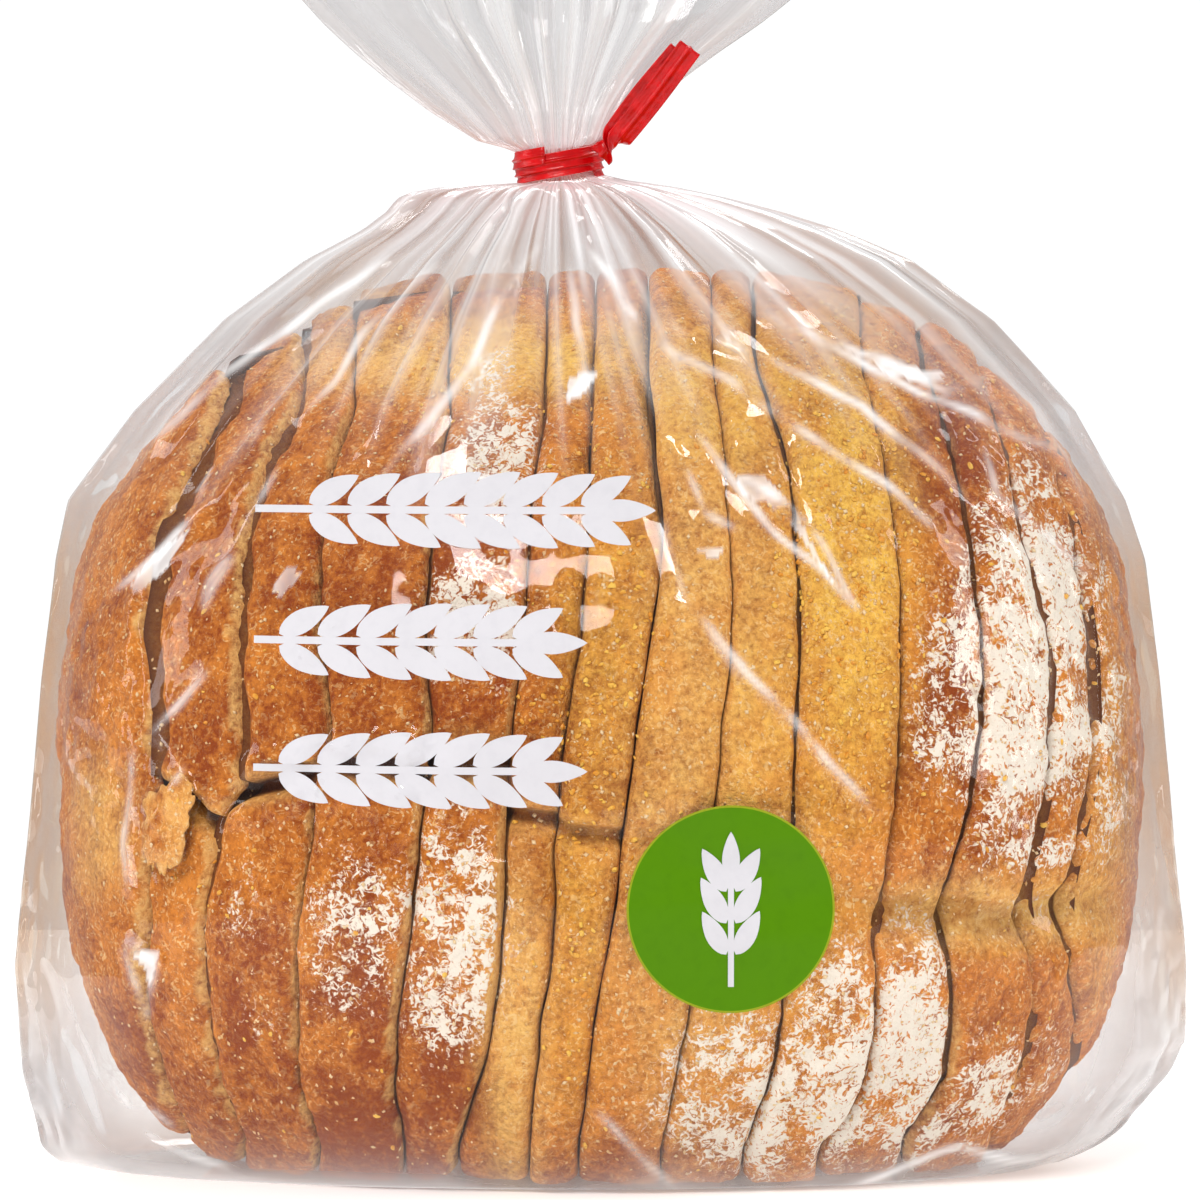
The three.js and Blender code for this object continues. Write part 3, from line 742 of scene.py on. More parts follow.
def makeFlap():
    across, tall = flap["steps"]
    u, v = np.meshgrid(np.linspace(-1, 1, across), np.linspace(-1, 1, tall))
    u, v = u * np.sqrt(1 - v ** 2 / 2), v * np.sqrt(1 - u ** 2 / 2)  # a round outline
    edge = np.column_stack([u.ravel() * 3, v.ravel() * 3, u.ravel() * 0])
    u, v = u.ravel(), v.ravel()
    out = np.hypot(u, v)
    grow = 1 + (0.22 * softNoise(edge, 1.5, 61) + 0.16 * softNoise(edge, 0.5, 62)) * out ** 2
    narrow = 0.82 + 0.3 * v  # narrower towards its foot
    x = 0.5 * (flap["left"] + flap["right"]) + 0.5 * (flap["right"] - flap["left"]) * u * grow * narrow
    x = x + 1.6 * v
    z = 0.5 * (flap["low"] + flap["high"]) + 0.5 * (flap["high"] - flap["low"]) * v * grow
    lie = -loafHalfDepth(z) * np.sqrt(np.maximum(0.05, 1 - (x / loafHalfWidth(z)) ** 2))
    flat = np.column_stack([x, lie * 0, z])
    lift = flap["lift"] * smoothStep(-1, 1, u * 0.4 + v * 0.6) + 0.35 * softNoise(flat, 2.5, 63)
    away = np.clip(1 - out ** 6, 0, 1) ** 0.5
    half = flap["thickness"] * 0.5 * away
    front = np.column_stack([x, lie - lift - half + 0.25 * softNoise(flat, 1.2, 65) * away, z])
    back = np.column_stack([x, lie - lift + half, z])
    faces = gridFaces(tall, across, False)
    count = across * tall
    faces += [tuple(count + corner for corner in face[::-1]) for face in gridFaces(tall, across, False)]
    rim = [*range(across), *range(2 * across - 1, count, across), *range(count - 2, count - across - 1, -1),
           *range(count - 2 * across, 0, -across)]
    faces += [(b, a, a + count, b + count) for a, b in zip(rim, rim[1:] + rim[:1])]
    noise = softNoise(flat, 2.0, 67)
    tone = np.concatenate([0.72 + 0.4 * noise, 0.6 + 0.2 * noise])
    paleness = np.concatenate([0.3 + 0.4 * noise, np.full(count, 0.9)])
    masks = {"tone": np.clip(tone, 0, 1), "pale": np.clip(paleness, 0, 1), "edge": np.tile(1 - away, 2)}
    piece = makePiece("torn_flap", np.concatenate([front, back]), faces, masks)
    piece.data.materials.append(crust)
    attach(piece, "root")
    return piece


tornFlap = makeFlap()
bread = rayTree(slices + [tornFlap], crustOnly=True)

# what is scattered over the crust

scatter = {
    "cornmeal": {"tries": 9000, "size": (0.22, 0.46), "flat": 0.75, "base": 0.02, "rounded": True,
                 "seed": 21},
    "flakes": {"tries": 15000, "size": (0.14, 0.4), "flat": 0.4, "base": 0.2, "rounded": False, "seed": 22},
}


def lumpShape(rounded):  # a double pyramid, or one with each side in four
    corner = np.array([(1, 0, 0), (-1, 0, 0), (0, 1, 0), (0, -1, 0), (0, 0, 1), (0, 0, -1)], dtype=float)
    sides = [(0, 2, 4), (2, 1, 4), (1, 3, 4), (3, 0, 4), (2, 0, 5), (1, 2, 5), (3, 1, 5), (0, 3, 5)]
    if not rounded:
        return corner, sides
    points, faces = list(corner), []
    for a, b, c in sides:
        ab = len(points)
        bc, ca = ab + 1, ab + 2
        points += [unit(corner[i] + corner[j]) for i, j in ((a, b), (b, c), (c, a))]
        faces += [(a, ab, ca), (ab, b, bc), (ca, bc, c), (ab, bc, ca)]
    return np.array(points), faces


def scatterPiece(name, look, chanceAt, material):  # small lumps on the front and back of the crust
    chance = np.random.default_rng(look["seed"])
    lump, lumpFaces = lumpShape(look["rounded"])
    points, faces = [], []
    for face in (-1.0, 1.0):
        x = chance.uniform(-89, 89, look["tries"])
        z = chance.uniform(2, 149, look["tries"])
        seen = finishPlace(x, face < 0)
        keep = chance.uniform(0, 1, look["tries"]) < chanceAt(seen, z)
        for px, pz in zip(x[keep], z[keep]):
            hit = bread.ray_cast(Vector((px, face * 90, pz)), Vector((0, -face, 0)), 89)
            if hit[0] is None:
                continue
            size = chance.uniform(*look["size"]) * np.array([1.35, chance.uniform(0.6, 1.1), look["flat"]])
            uneven = lump * (1 + chance.uniform(-0.22, 0.22, (len(lump), 1)))
            out = np.array(hit[1])
            out = out if out[1] * face > 0 else -out
            spin = chance.normal(size=3)
            along = unit(spin - out * spin.dot(out))
            turned = (uneven * size) @ np.stack([along, np.cross(out, along), out])
            start = len(points) * len(lump)
            points.append(turned + np.array(hit[0]) + out * size[2] * 0.35)
            faces += [tuple(start + v for v in side) for side in lumpFaces]
    piece = makePiece(name, np.concatenate(points), faces)
    piece.data.materials.append(material)
    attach(piece, "root")
    return len(points)


def cornmealAt(x, z):
    return scatter["cornmeal"]["base"] + 0.9 * np.clip(spots(grainSpots, x, z), 0, 1)


def flakesAt(x, z):
    return scatter["flakes"]["base"] + 0.3 * spots(grainSpots, x, z) + 0.35 * spots(flourSpots, x, z)


grains = scatterPiece("cornmeal_grains", scatter["cornmeal"], cornmealAt, cornmeal)
flakes = scatterPiece("bran_flakes", scatter["flakes"], flakesAt, bran)
print("scattered:", grains, "grains and", flakes, "flakes")

# the film and the tie's values

# glint below is how strong the painted highlight in the outlines is
bag = {
    "neckX": -6.9, "neckLow": 163.9, "neckHigh": 169.3,
    "frontColumns": 460, "backColumns": 270, "bodyRows": 200, "flareRows": 66,
    "clearOfLoaf": 0.5, "crumple": 2.0, "slack": 0.75, "glint": 0.75,
}

# folds that gather towards the neck and fan out again above it
folds = {
    "seed": 12, "below": 34, "above": 30, "nearNeck": 72,
    "belowHeight": (0.7, 3.0), "aboveHeight": (1.5, 5.5), "width": (2.5, 10.0),
}

tie = {
    "centre": (-6.9, 0, 166.6), "tilt": 8.4, "width": 4.1, "thickness": 0.15, "wire": 0.42, "selvedge": 0.07,
    "wrinkle": 0.07, "bandReach": (6.95, 6.15), "turns": 2.8, "pitch": 1.25, "bandWidth": 2.9, "shingle": 13,
    "slope": 42, "lean": 29, "tailStart": (7.2, -4.6, 0.3), "twistLength": 6.0,
    "tails": [  # how far each turns at its foot, its length, and how far it lies forward and aside
        (180, 23.0, (0.35, 0.5, 0.9, 1.3), (0, -0.5, -0.5, 0)),
        (162, 21.5, (-0.35, -0.4, -0.2, 0.2), (0, 0.5, 1.0, 0.9)),
    ],
}

# folds in the film's front: height, half-width, and the places they run through
creases = [
    (0.9, 3, [(-56, 124), (-63, 112), (-74, 100), (-81, 94)]), (0.6, 2.5, [(-64, 84), (-73, 73)]),
    (0.6, 2, [(-72, 73), (-67, 68), (-69, 65)]), (0.6, 2, [(-78, 39), (-73, 28), (-72, 36), (-78, 39)]),
    (0.5, 2, [(-76, 71), (-77, 48)]), (0.6, 2.5, [(-92, 35), (-81, 14)]), (0.6, 2, [(-81, 17), (-77, 11)]),
    (0.5, 2, [(-74, 12), (-69, 10)]), (0.7, 3, [(-75, 8), (-60, 3)]),
    (0.8, 3, [(-26, 150), (-39, 138), (-48, 126)]), (0.9, 3.5, [(-34, 151), (-57, 135), (-78, 115)]),
    (0.7, 2.5, [(-11, 152), (-22, 133), (-35, 115)]), (0.8, 2.5, [(-5, 149), (-2, 130)]),
    (0.7, 2, [(-6, 128), (-1, 134)]), (0.8, 2.5, [(-1, 152), (6, 141)]),
    (0.6, 2.5, [(-53, 117), (-64, 94)]), (0.5, 2, [(-59, 103), (-64, 93)]),
    (0.9, 2.5, [(10, 137), (44, 115), (53, 108)]), (0.5, 2, [(12, 140), (15, 138)]),
    (1.0, 3.5, [(34, 138), (49, 134), (56, 130), (63, 131)]), (0.9, 2.5, [(18, 138), (42, 127), (74, 99)]),
    (0.9, 2.5, [(25, 142), (80, 117)]), (1.0, 3, [(15, 124), (23, 113), (29, 106), (42, 94)]),
    (1.0, 5, [(23, 116), (34, 109)]), (0.8, 2.5, [(34, 108), (38, 100), (42, 94)]),
    (0.7, 2.5, [(14, 117), (16, 110), (22, 107)]), (1.0, 2.5, [(13, 96), (32, 75), (44, 63)]),
    (0.5, 2.5, [(9, 109), (13, 96), (23, 83)]), (0.7, 2.5, [(62, 121), (64, 113), (81, 99)]),
    (0.8, 2.5, [(67, 134), (80, 117)]), (0.9, 3, [(41, 1), (58, 6), (72, 3), (85, 4)]),
    (0.7, 2, [(-1, 14), (11, 2)]),
]

# painted highlights where the film catches the light, as outlines
glints = [
    [(21.6, 115.6), (26.0, 116.2), (31.2, 110.8), (38.6, 96.3), (32.1, 106.7), (26.9, 111.5), (22.8, 112.8)],
    [(14.4, 104.6), (20.1, 104.4), (18.5, 102.4)],
    [(44.1, 134.6), (57.8, 131.8), (53.0, 130.6), (46.5, 132.2)],
    [(-53.0, 97.8), (-50.6, 101.2), (-48.1, 100.4), (-51.4, 96.2)],
    [(-77.0, 97.0), (-72.2, 102.8), (-66.6, 106.8), (-70.6, 100.4), (-75.4, 96.2)],
    [(-5.1, 131.8), (0.0, 133.0), (-2.4, 129.2), (-5.6, 127.6)],
    [(-19.6, 116.0), (-16.0, 115.6), (-16.9, 110.8), (-19.3, 112.4)],
    [(-76.3, 37.8), (-71.4, 38.6), (-73.0, 32.2), (-74.2, 35.6)],
    [(-66.0, 113.0), (-63.4, 117.0), (-65.0, 109.0)], [(19.0, 141.0), (22.4, 139.4), (20.2, 137.0)],
    [(83.8, 98.6), (85.4, 96.0), (84.6, 92.0)],
]


def insideAny(outlines, x, z):  # whether each point lies in one of the outlines
    found = np.zeros(len(x), dtype=bool)
    for outline in outlines:
        inside = np.zeros(len(x), dtype=bool)
        for (ax, az), (bx, bz) in zip(outline, outline[1:] + outline[:1]):
            crosses = (az > z) != (bz > z)
            inside ^= crosses & (x < ax + (z - az) * (bx - ax) / (bz - az if bz != az else 1e-9))
        found |= inside
    return found


def bagRadius(solid, centreX, z, angles):  # how far the bag reaches from its own axis
    found = np.full(len(angles), np.nan)
    for i, angle in enumerate(angles):
        away = Vector((math.cos(angle), math.sin(angle), 0))
        start = Vector((centreX, 0, z)) + away * 150
        hit = solid.ray_cast(start, -away, 150)
        if hit[0] is not None:
            found[i] = 150 - hit[3]
    return found


def smoothRound(values, sigma, keep=0.0):  # smooths along the ring, less where keep nears 1
    reach = int(3 * sigma) + 1
    kernel = np.exp(-0.5 * (np.arange(-reach, reach + 1) / sigma) ** 2)
    kernel /= kernel.sum()
    padded = np.concatenate([values[..., -reach:], values, values[..., :reach]], axis=-1)
    out = np.apply_along_axis(lambda row: np.convolve(row, kernel, mode="valid"), -1, padded)
    return values * keep + out * (1 - keep)


def creaseHeight(x, z):  # how far each place is lifted, and its sharp line, which gets a painted highlight
    total = np.zeros(len(x))
    ridge = np.zeros(len(x))
    place = np.column_stack([x, x * 0, z])
    x = x + 1.1 * softNoise(place, 11, 91) + 0.3 * softNoise(place, 4, 92)
    z = z + 1.1 * softNoise(place, 11, 93)
    for height, half, stops in creases:
        best = np.full(len(x), 99.0)
        taper = np.zeros(len(x))
        for leg, ((ax, az), (bx, bz)) in enumerate(zip(stops[:-1], stops[1:])):
            length = (bx - ax) ** 2 + (bz - az) ** 2
            t = np.clip(((x - ax) * (bx - ax) + (z - az) * (bz - az)) / length, 0, 1)
            near = np.hypot(x - ax - t * (bx - ax), z - az - t * (bz - az))
            taper = np.where(near < best, np.sin(np.pi * (leg + t) / (len(stops) - 1)) ** 0.6, taper)
            best = np.minimum(best, near)
        total = np.maximum(total, height * np.clip(1 - best / half, 0, 1))
        ridge = np.maximum(ridge, height * (0.15 + 0.85 * taper) * np.exp(-(best / 0.72) ** 2))
    return total, ridge


def foldSet(count, heights, widths, chance):  # places round the neck, with heights, half-widths and bends
    places = (np.arange(count) + chance.uniform(-0.45, 0.45, count)) * 360 / count
    height = chance.uniform(*heights, count) * chance.choice([1, 1, -0.7], count)
    half = chance.uniform(*widths, count)
    bend = chance.uniform(-1, 1, count)
    return np.column_stack([places, height, half, bend, chance.uniform(0, 1, count)])


def foldHeight(table, turn, z, reach):  # a tent at each fold, as strong as reach tells
    degrees = np.degrees(turn) % 360
    total = np.zeros_like(z * turn)
    ridge = np.zeros_like(total)
    for place, height, half, bend, late in table:
        middle = place + bend * 0.09 * (166 - z)
        away = np.abs((degrees - middle + 180) % 360 - 180)
        tent = np.clip(1 - away / half, 0, 1)
        strength = reach(late)
        total += height * tent * strength
        ridge = np.maximum(ridge, tent ** 3 * strength * min(1.0, abs(height)))
    return total, ridge


def filmRings():  # angle, height and distance from the axis of every point, read from the CAD bag
    solid = rayTree([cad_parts["bag"]])
    front = np.pi + np.pi * np.linspace(0, 1, bag["frontColumns"], endpoint=False)
    back = np.pi * np.linspace(0, 1, bag["backColumns"], endpoint=False)
    angles = np.concatenate([front, back])
    columns = len(angles)
    keepTip = np.exp(-(np.abs(np.sin(angles)) / 0.06) ** 2)
    bodyZ = np.linspace(2.6, bag["neckLow"] - 0.4, bag["bodyRows"] - 4)
    bodyZ = np.concatenate([[0.15, 0.5, 1.0, 1.7], bodyZ])
    centre = bag["neckX"] * smoothStep(60, 160, bodyZ)
    radius = np.array([bagRadius(solid, c, z, angles) for c, z in zip(centre, bodyZ)])
    for row in radius:
        good = ~np.isnan(row)
        row[~good] = np.interp(np.nonzero(~good)[0], np.nonzero(good)[0], row[good])
    soft = smoothRound(radius, 7.0, keepTip)
    soft[1:-1] = 0.25 * soft[:-2] + 0.5 * soft[1:-1] + 0.25 * soft[2:]
    upper = smoothStep(100, 125, bodyZ)[:, None]
    radius = soft * (1 - upper) + smoothRound(radius, 12.0, keepTip) * upper
    neckZ = np.array([bag["neckLow"], 165.2, 166.6, 168.0, bag["neckHigh"]])
    neckRadius = np.array([bagRadius(solid, bag["neckX"], z, angles) for z in neckZ])
    neckRadius = smoothRound(np.nan_to_num(neckRadius, nan=5.0), 8.0)
    scan = np.arange(222.5, bag["neckHigh"] + 1, -1.0)
    grid = np.array([bagRadius(solid, bag["neckX"], z, angles[::4]) for z in scan])
    grid[np.nan_to_num(grid) < 3] = np.nan
    rim = scan[np.argmax(~np.isnan(grid), axis=0)]
    rim = smoothRound(np.interp(np.arange(columns), np.arange(0, columns, 4), rim)[None], 9.0)[0]
    share = np.linspace(0, 1, bag["flareRows"] + 1)[1:] ** 0.9
    flareZ = bag["neckHigh"] + share[:, None] * (rim - 1.0 - bag["neckHigh"])[None, :]
    flareRadius = np.zeros_like(flareZ)
    for column in range(columns):
        read = grid[::-1, min(column // 4, grid.shape[1] - 1)]
        good = ~np.isnan(read)
        flareRadius[:, column] = np.interp(flareZ[:, column], scan[::-1][good], read[good])
    flareRadius = smoothRound(flareRadius, 12.0)
    z = np.concatenate([np.repeat(np.concatenate([bodyZ, neckZ])[:, None], columns, 1), flareZ])
    r = np.concatenate([radius, neckRadius, flareRadius])
    c = np.concatenate([centre, np.full(len(neckZ) + len(share), bag["neckX"])])[:, None]
    return angles[None, :], z, r, c


def foldedRadius(turn, z, r):  # the film's gathers, and their ridges, which turn milky and get a painted highlight
    chance = np.random.default_rng(folds["seed"])
    low = foldSet(folds["below"], folds["belowHeight"], folds["width"], chance)
    high = foldSet(folds["above"], folds["aboveHeight"], folds["width"], chance)
    near = foldSet(folds["nearNeck"], (0.3, 0.8), (1.4, 3.0), chance)
    body = z < bag["neckLow"] - 0.01
    neck = (z <= bag["neckHigh"] + 0.01) & ~body
    narrow = np.clip(r / 24, 0.22, 1)
    nearReach = 1 - smoothStep(176, 196, z)
    lowHeight, lowRidge = foldHeight(
        low, turn, z, lambda late: smoothStep(96 + 42 * late, 118 + 42 * late, z) * body)
    nearHeight, nearRidge = foldHeight(
        near, turn, z, lambda late: smoothStep(140 + 10 * late, 156 + 5 * late, z) * nearReach)
    highHeight, highRidge = foldHeight(
        high, turn, z, lambda late: smoothStep(0, 24 + 30 * late, z - bag["neckHigh"]))
    r = r + np.where(neck, 0.25 * nearHeight - 0.1, (lowHeight + highHeight + nearHeight * 0.7) * narrow)
    r = r - np.where(neck, 0.2, 0.5 * narrow * smoothStep(110, 140, z))
    return r, np.maximum(np.maximum(lowRidge, highRidge), nearRidge)


# how milky, grey and warm the film looks, from 0 to 1, and how far each effect reaches; the milkiness also
# carries painted highlights along the creases and fold ridges, and the greys are partly painted shade
filmTone = {
    "neckHaze": 0.8, "neckReach": 26, "nearMouth": 0.5, "nearMouthReach": 15, "mouth": 0.34, "mouthReach": 90,
    "foldAbove": 0.35, "creases": 0.72, "base": 0.5, "leftCorner": 0.12, "rightCorner": 0.36, "sides": 0.07,
    "neckGrey": 0.7, "sideGrey": 0.35, "leftCornerGrey": 0.85, "rightCornerGrey": 0.5, "shoulderGrey": 0.55,
    "sideWarmth": 0.85, "shoulderWarmth": 0.35, "tieReflection": 0.75,
}


def filmMasks(turn, z, x, ridge, creaseHighlight):  # the red near the tie is a painted reflection of it, and glint is a painted highlight
    tone = filmTone
    away = np.abs(z - tie["centre"][2])
    above = z > bag["neckHigh"]
    degrees = np.degrees(turn) + 0 * z

    def lines(size, tall, seed):
        places = np.column_stack([degrees.ravel(), 0 * z.ravel(), z.ravel() * tall])
        return softNoise(places, size, seed).reshape(z.shape)

    fine = np.clip(0.5 + 0.9 * lines(1.9, 0.06, 81), 0, 1.3)
    broad = np.clip(0.5 + 1.1 * lines(9.0, 0.12, 83), 0, 1.2)
    mouth = tone["nearMouth"] * np.exp(-away / tone["nearMouthReach"])
    mouth = mouth + tone["mouth"] * np.exp(-away / tone["mouthReach"]) * broad ** 2
    neck = tone["neckHaze"] * np.exp(-(away / tone["neckReach"]) ** 1.5) * (0.45 + 0.6 * broad)
    hazeAndHighlight = np.where(above, mouth, neck) * (0.35 + 0.65 * fine)
    folded = 0.4 * np.exp(-away / tone["neckReach"]) + 0.2 * np.exp(-away / 70)
    hazeAndHighlight = hazeAndHighlight + ridge * np.where(above, tone["foldAbove"], folded)
    patchy = softNoise(np.column_stack([x.ravel(), 0 * x.ravel(), z.ravel()]), 5, 89).reshape(z.shape)
    # painted highlight along the creases
    hazeAndHighlight = hazeAndHighlight + tone["creases"] * creaseHighlight * np.clip(0.7 + 0.9 * patchy, 0.05, 1)
    corner = np.where(x > 0, tone["rightCorner"], tone["leftCorner"])
    corner = corner * np.exp(-((np.abs(x) - 92) / 13) ** 2) * np.exp(-(z / 42) ** 2)
    hazeAndHighlight = hazeAndHighlight + (tone["base"] * np.exp(-z / 3.5) + corner) * (0.5 + 0.6 * broad)
    side = np.exp(-(np.abs(np.sin(turn)) / 0.2) ** 2)
    hazeAndHighlight = hazeAndHighlight + tone["sides"] * side
    streaks = 0.2 + 0.8 * np.clip(0.5 + 1.2 * lines(6, 0.1, 85), 0, 1)
    # the greys are partly layered film and partly painted shade
    grey = np.where(above, streaks, tone["neckGrey"] * np.exp(-away / tone["neckReach"]))
    grey = grey + tone["sideGrey"] * side + 0.12 * side * lines(5, 0.5, 87)
    corner = np.where(x < 0, tone["leftCornerGrey"], tone["rightCornerGrey"])
    grey = grey + corner * np.exp(-((np.abs(x) - 92) / 14) ** 2) * np.exp(-(z / 32) ** 2)
    shoulder = smoothStep(8, 34, x) * smoothStep(122, 150, z) * (1 - above)
    grey = grey + tone["shoulderGrey"] * shoulder
    warm = tone["sideWarmth"] * side * smoothStep(10, 40, z) * (1 - smoothStep(90, 120, z))
    return {
        "hazeAndHighlight": np.clip(hazeAndHighlight, 0, 0.92),
        "gather": np.clip(grey, 0, 1),
        # painted reflection of the red tie
        "tieReflection": tone["tieReflection"] * np.exp(-away / 5),
        "warm": warm + tone["shoulderWarmth"] * shoulder,
        # painted highlight
        "glint": np.clip(2 * creaseHighlight + 0.5 * ridge, 0, 1),
    }


def breadReach(x, z, sine):  # how far the slices reach to the front or back at each place of the film
    reach = np.full(z.shape, -9.0)
    for row, column in zip(*np.nonzero((z < 152) & (np.abs(x) < 92))):
        side = -1.0 if sine[0, column] < 0 else 1.0
        hit = bread.ray_cast(Vector((x[row, column], side * 90, z[row, column])), Vector((0, -side, 0)), 90)
        if hit[0] is not None:
            reach[row, column] = 90 - hit[3]
    spread = reach.copy()
    for shift in (-1, 1):
        spread = np.maximum(spread, np.roll(reach, shift, axis=1))
        spread[1:-1] = np.maximum(spread[1:-1], reach[1 + shift:len(reach) - 1 + shift])
    return spread


def filmShape():  # the film's points, row by row, and its masks
    turn, z, r, c = filmRings()
    print("bag's form read")
    r, ridge = foldedRadius(turn, z, r)
    sine, cosine = np.sin(turn), np.cos(turn)
    x, y = c + r * cosine, r * sine
    body = z < bag["neckLow"]
    tent, creaseHighlight = np.zeros_like(z), np.zeros_like(z)
    for part, across, up in (((sine < 0) & body, x, z), ((sine > 0) & body, 5 - x, z + 4)):
        tent[part], creaseHighlight[part] = creaseHeight(across[part], up[part])
        creaseHighlight[part] += bag["glint"] * insideAny(glints, across[part], up[part])
    creaseHighlight = creaseHighlight * smoothStep(0.15, 0.42, np.abs(sine))
    tent = tent * smoothStep(0.0, 0.12, np.abs(sine))
    x, y = x + tent * cosine * 0.5, y + tent * sine
    flat = np.column_stack([x.ravel(), y.ravel(), z.ravel()])
    ridged = (1 - 2 * np.abs(softNoise(flat, 12, 75))).reshape(z.shape)
    finer = (1 - 2 * np.abs(softNoise(flat, 5, 77))).reshape(z.shape)
    slack = softNoise(flat, 16, 71).reshape(z.shape) + 0.4 * ridged + 0.12 * finer
    slack = bag["slack"] * slack * body
    seam = np.exp(-(np.abs(sine) / 0.22) ** 2) * smoothStep(0, 6, z) * (1 - smoothStep(125, 155, z))
    corner = 1 + 0.9 * np.exp(-(z / 35) ** 2)
    y = y + seam * bag["crumple"] * corner * (ridged + 0.45 * finer)
    x = x + slack * cosine * 0.3
    y = y + slack * np.sign(sine) * smoothStep(0.05, 0.3, np.abs(sine))
    need = breadReach(x, z, sine)  # the film stays clear of the loaf
    short = np.abs(y) < need + bag["clearOfLoaf"]
    y = np.where(short, np.sign(sine) * (need + bag["clearOfLoaf"]), y)
    low, high = (np.array(corner) / mm for corner in cadBounds)  # and inside the CAD box
    x = np.clip(x, low[0] + 0.05, high[0] - 0.05)
    y = np.clip(y, low[1] + 0.05, high[1] - 0.05)
    return np.stack([x, y, z * np.ones_like(x)], axis=-1), filmMasks(turn, z, x, ridge, creaseHighlight)


def makeFilm():
    points, masks = filmShape()
    rows, columns = points.shape[:2]
    vertices = [points.reshape(-1, 3)]
    faces = gridFaces(rows, columns, True)
    previous = np.arange(columns)
    total = rows * columns
    middle = np.array([0, 0, 0.12])
    for shrink in (0.93, 0.75, 0.4):
        vertices.append(middle + (points[0] - middle) * [shrink, shrink, 1])
        for j in range(columns):
            after = (j + 1) % columns
            faces.append((int(previous[after]), int(previous[j]), total + j, total + after))
        previous = total + np.arange(columns)
        total += columns
    vertices.append(middle[None])
    for j in range(columns):
        faces.append((int(previous[(j + 1) % columns]), int(previous[j]), total))
    extra = 3 * columns + 1
    masks = {label: np.concatenate([values.ravel(), np.full(extra, 0.5 if label == "hazeAndHighlight" else 0.0)])
             for label, values in masks.items()}
    piece = makePiece("film", np.concatenate(vertices), faces, masks)
    piece.data.materials.append(filmSkin)
    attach(piece, "root")
    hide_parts("bag")
    return piece


filmPiece = makeFilm()
filmPiece.visible_shadow = False  # so thin that its shadow and its image in itself don't show
filmPiece.visible_diffuse = False
filmPiece.visible_glossy = False
print("film made:", len(filmPiece.data.vertices), "points")

# the print on the film's front

ears = {  # rows holds where each lying ear of wheat starts and ends, and its height
    "rows": [(-56, 9, 110.5), (-56, -2, 89.5), (-56, -2, 69)],
    "grainLength": 10.5, "grainWidth": 4.2, "pitch": 6.3, "lean": 29, "stem": 1.2, "standOff": 0.12,
}
badge = {
    "x": 21.0, "z": 46.8, "radius": 16.4, "rim": 0.35, "standOff": 0.1,
    "earBottom": -12.5, "earTop": 12.5, "earScale": 0.8, "earStandOff": 0.24,
}


def filmFront(tree, x, z, standOff):  # the point just in front of the film at that place
    hit = tree.ray_cast(Vector((x, -150, z)), Vector((0, 1, 0)), 150)
    return (x, hit[0].y - standOff, z)


def addFan(tree, points, faces, outline, standOff, rings=3):  # a filled outline, laid on the film
    outline = np.asarray(outline, dtype=float)
    middle = outline.mean(axis=0)
    start = len(points)
    count = len(outline)
    points.append(filmFront(tree, *middle, standOff))
    for ring in range(1, rings + 1):
        for x, z in middle + (outline - middle) * ring / rings:
            points.append(filmFront(tree, x, z, standOff))
    for j in range(count):
        after = (j + 1) % count
        faces.append((start, start + 1 + j, start + 1 + after))
        for ring in range(rings - 1):
            low = start + 1 + ring * count
            faces.append((low + j, low + count + j, low + count + after, low + after))


def grainOutline(x, z, angle, length, width):  # a grain that starts at x, z and points along angle
    along = np.linspace(0, 1, 17)
    half = 0.5 * width * np.sin(np.pi * along ** 0.8) ** 0.8
    shape = list(zip(length * along, half)) + list(zip(length * along[-2:0:-1], -half[-2:0:-1]))
    ahead, aside = math.cos(math.radians(angle)), math.sin(math.radians(angle))
    return [(x + a * ahead - b * aside, z + a * aside + b * ahead) for a, b in shape]


def addEar(tree, points, faces, start, length, angle, look, scale=1.0):  # an ear of wheat, laid on the film
    turn = math.radians(angle)
    ahead, aside = (math.cos(turn), math.sin(turn)), (-math.sin(turn), math.cos(turn))

    def place(a, b):
        return start[0] + ahead[0] * a + aside[0] * b, start[1] + ahead[1] * a + aside[1] * b

    stem = 0.5 * look["stem"] * scale
    steps = np.linspace(0, length * 0.9, 30)
    first = len(points)
    for a in steps:
        for b in (-stem, stem):
            points.append(filmFront(tree, *place(a, b), look["standOff"]))
    for j in range(len(steps) - 1):
        low = first + 2 * j
        faces.append((low, low + 2, low + 3, low + 1))
    grain, width = look["grainLength"] * scale, look["grainWidth"] * scale
    pairs = int((length * 0.9 - grain) / (look["pitch"] * scale))
    begin = length - grain * 1.15 - pairs * look["pitch"] * scale
    for pair in range(pairs + 1):
        at = begin + pair * look["pitch"] * scale
        size = 0.82 + 0.18 * math.sin(math.pi * (pair + 1) / (pairs + 2))
        for side in (1, -1):
            x, z = place(at, side * stem * 1.6)
            outline = grainOutline(x, z, angle + side * look["lean"], grain * size, width * size)
            addFan(tree, points, faces, outline, look["standOff"])
    x, z = place(length - grain * 0.95, 0)
    addFan(tree, points, faces, grainOutline(x, z, angle, grain * 0.95, width * 0.85), look["standOff"])


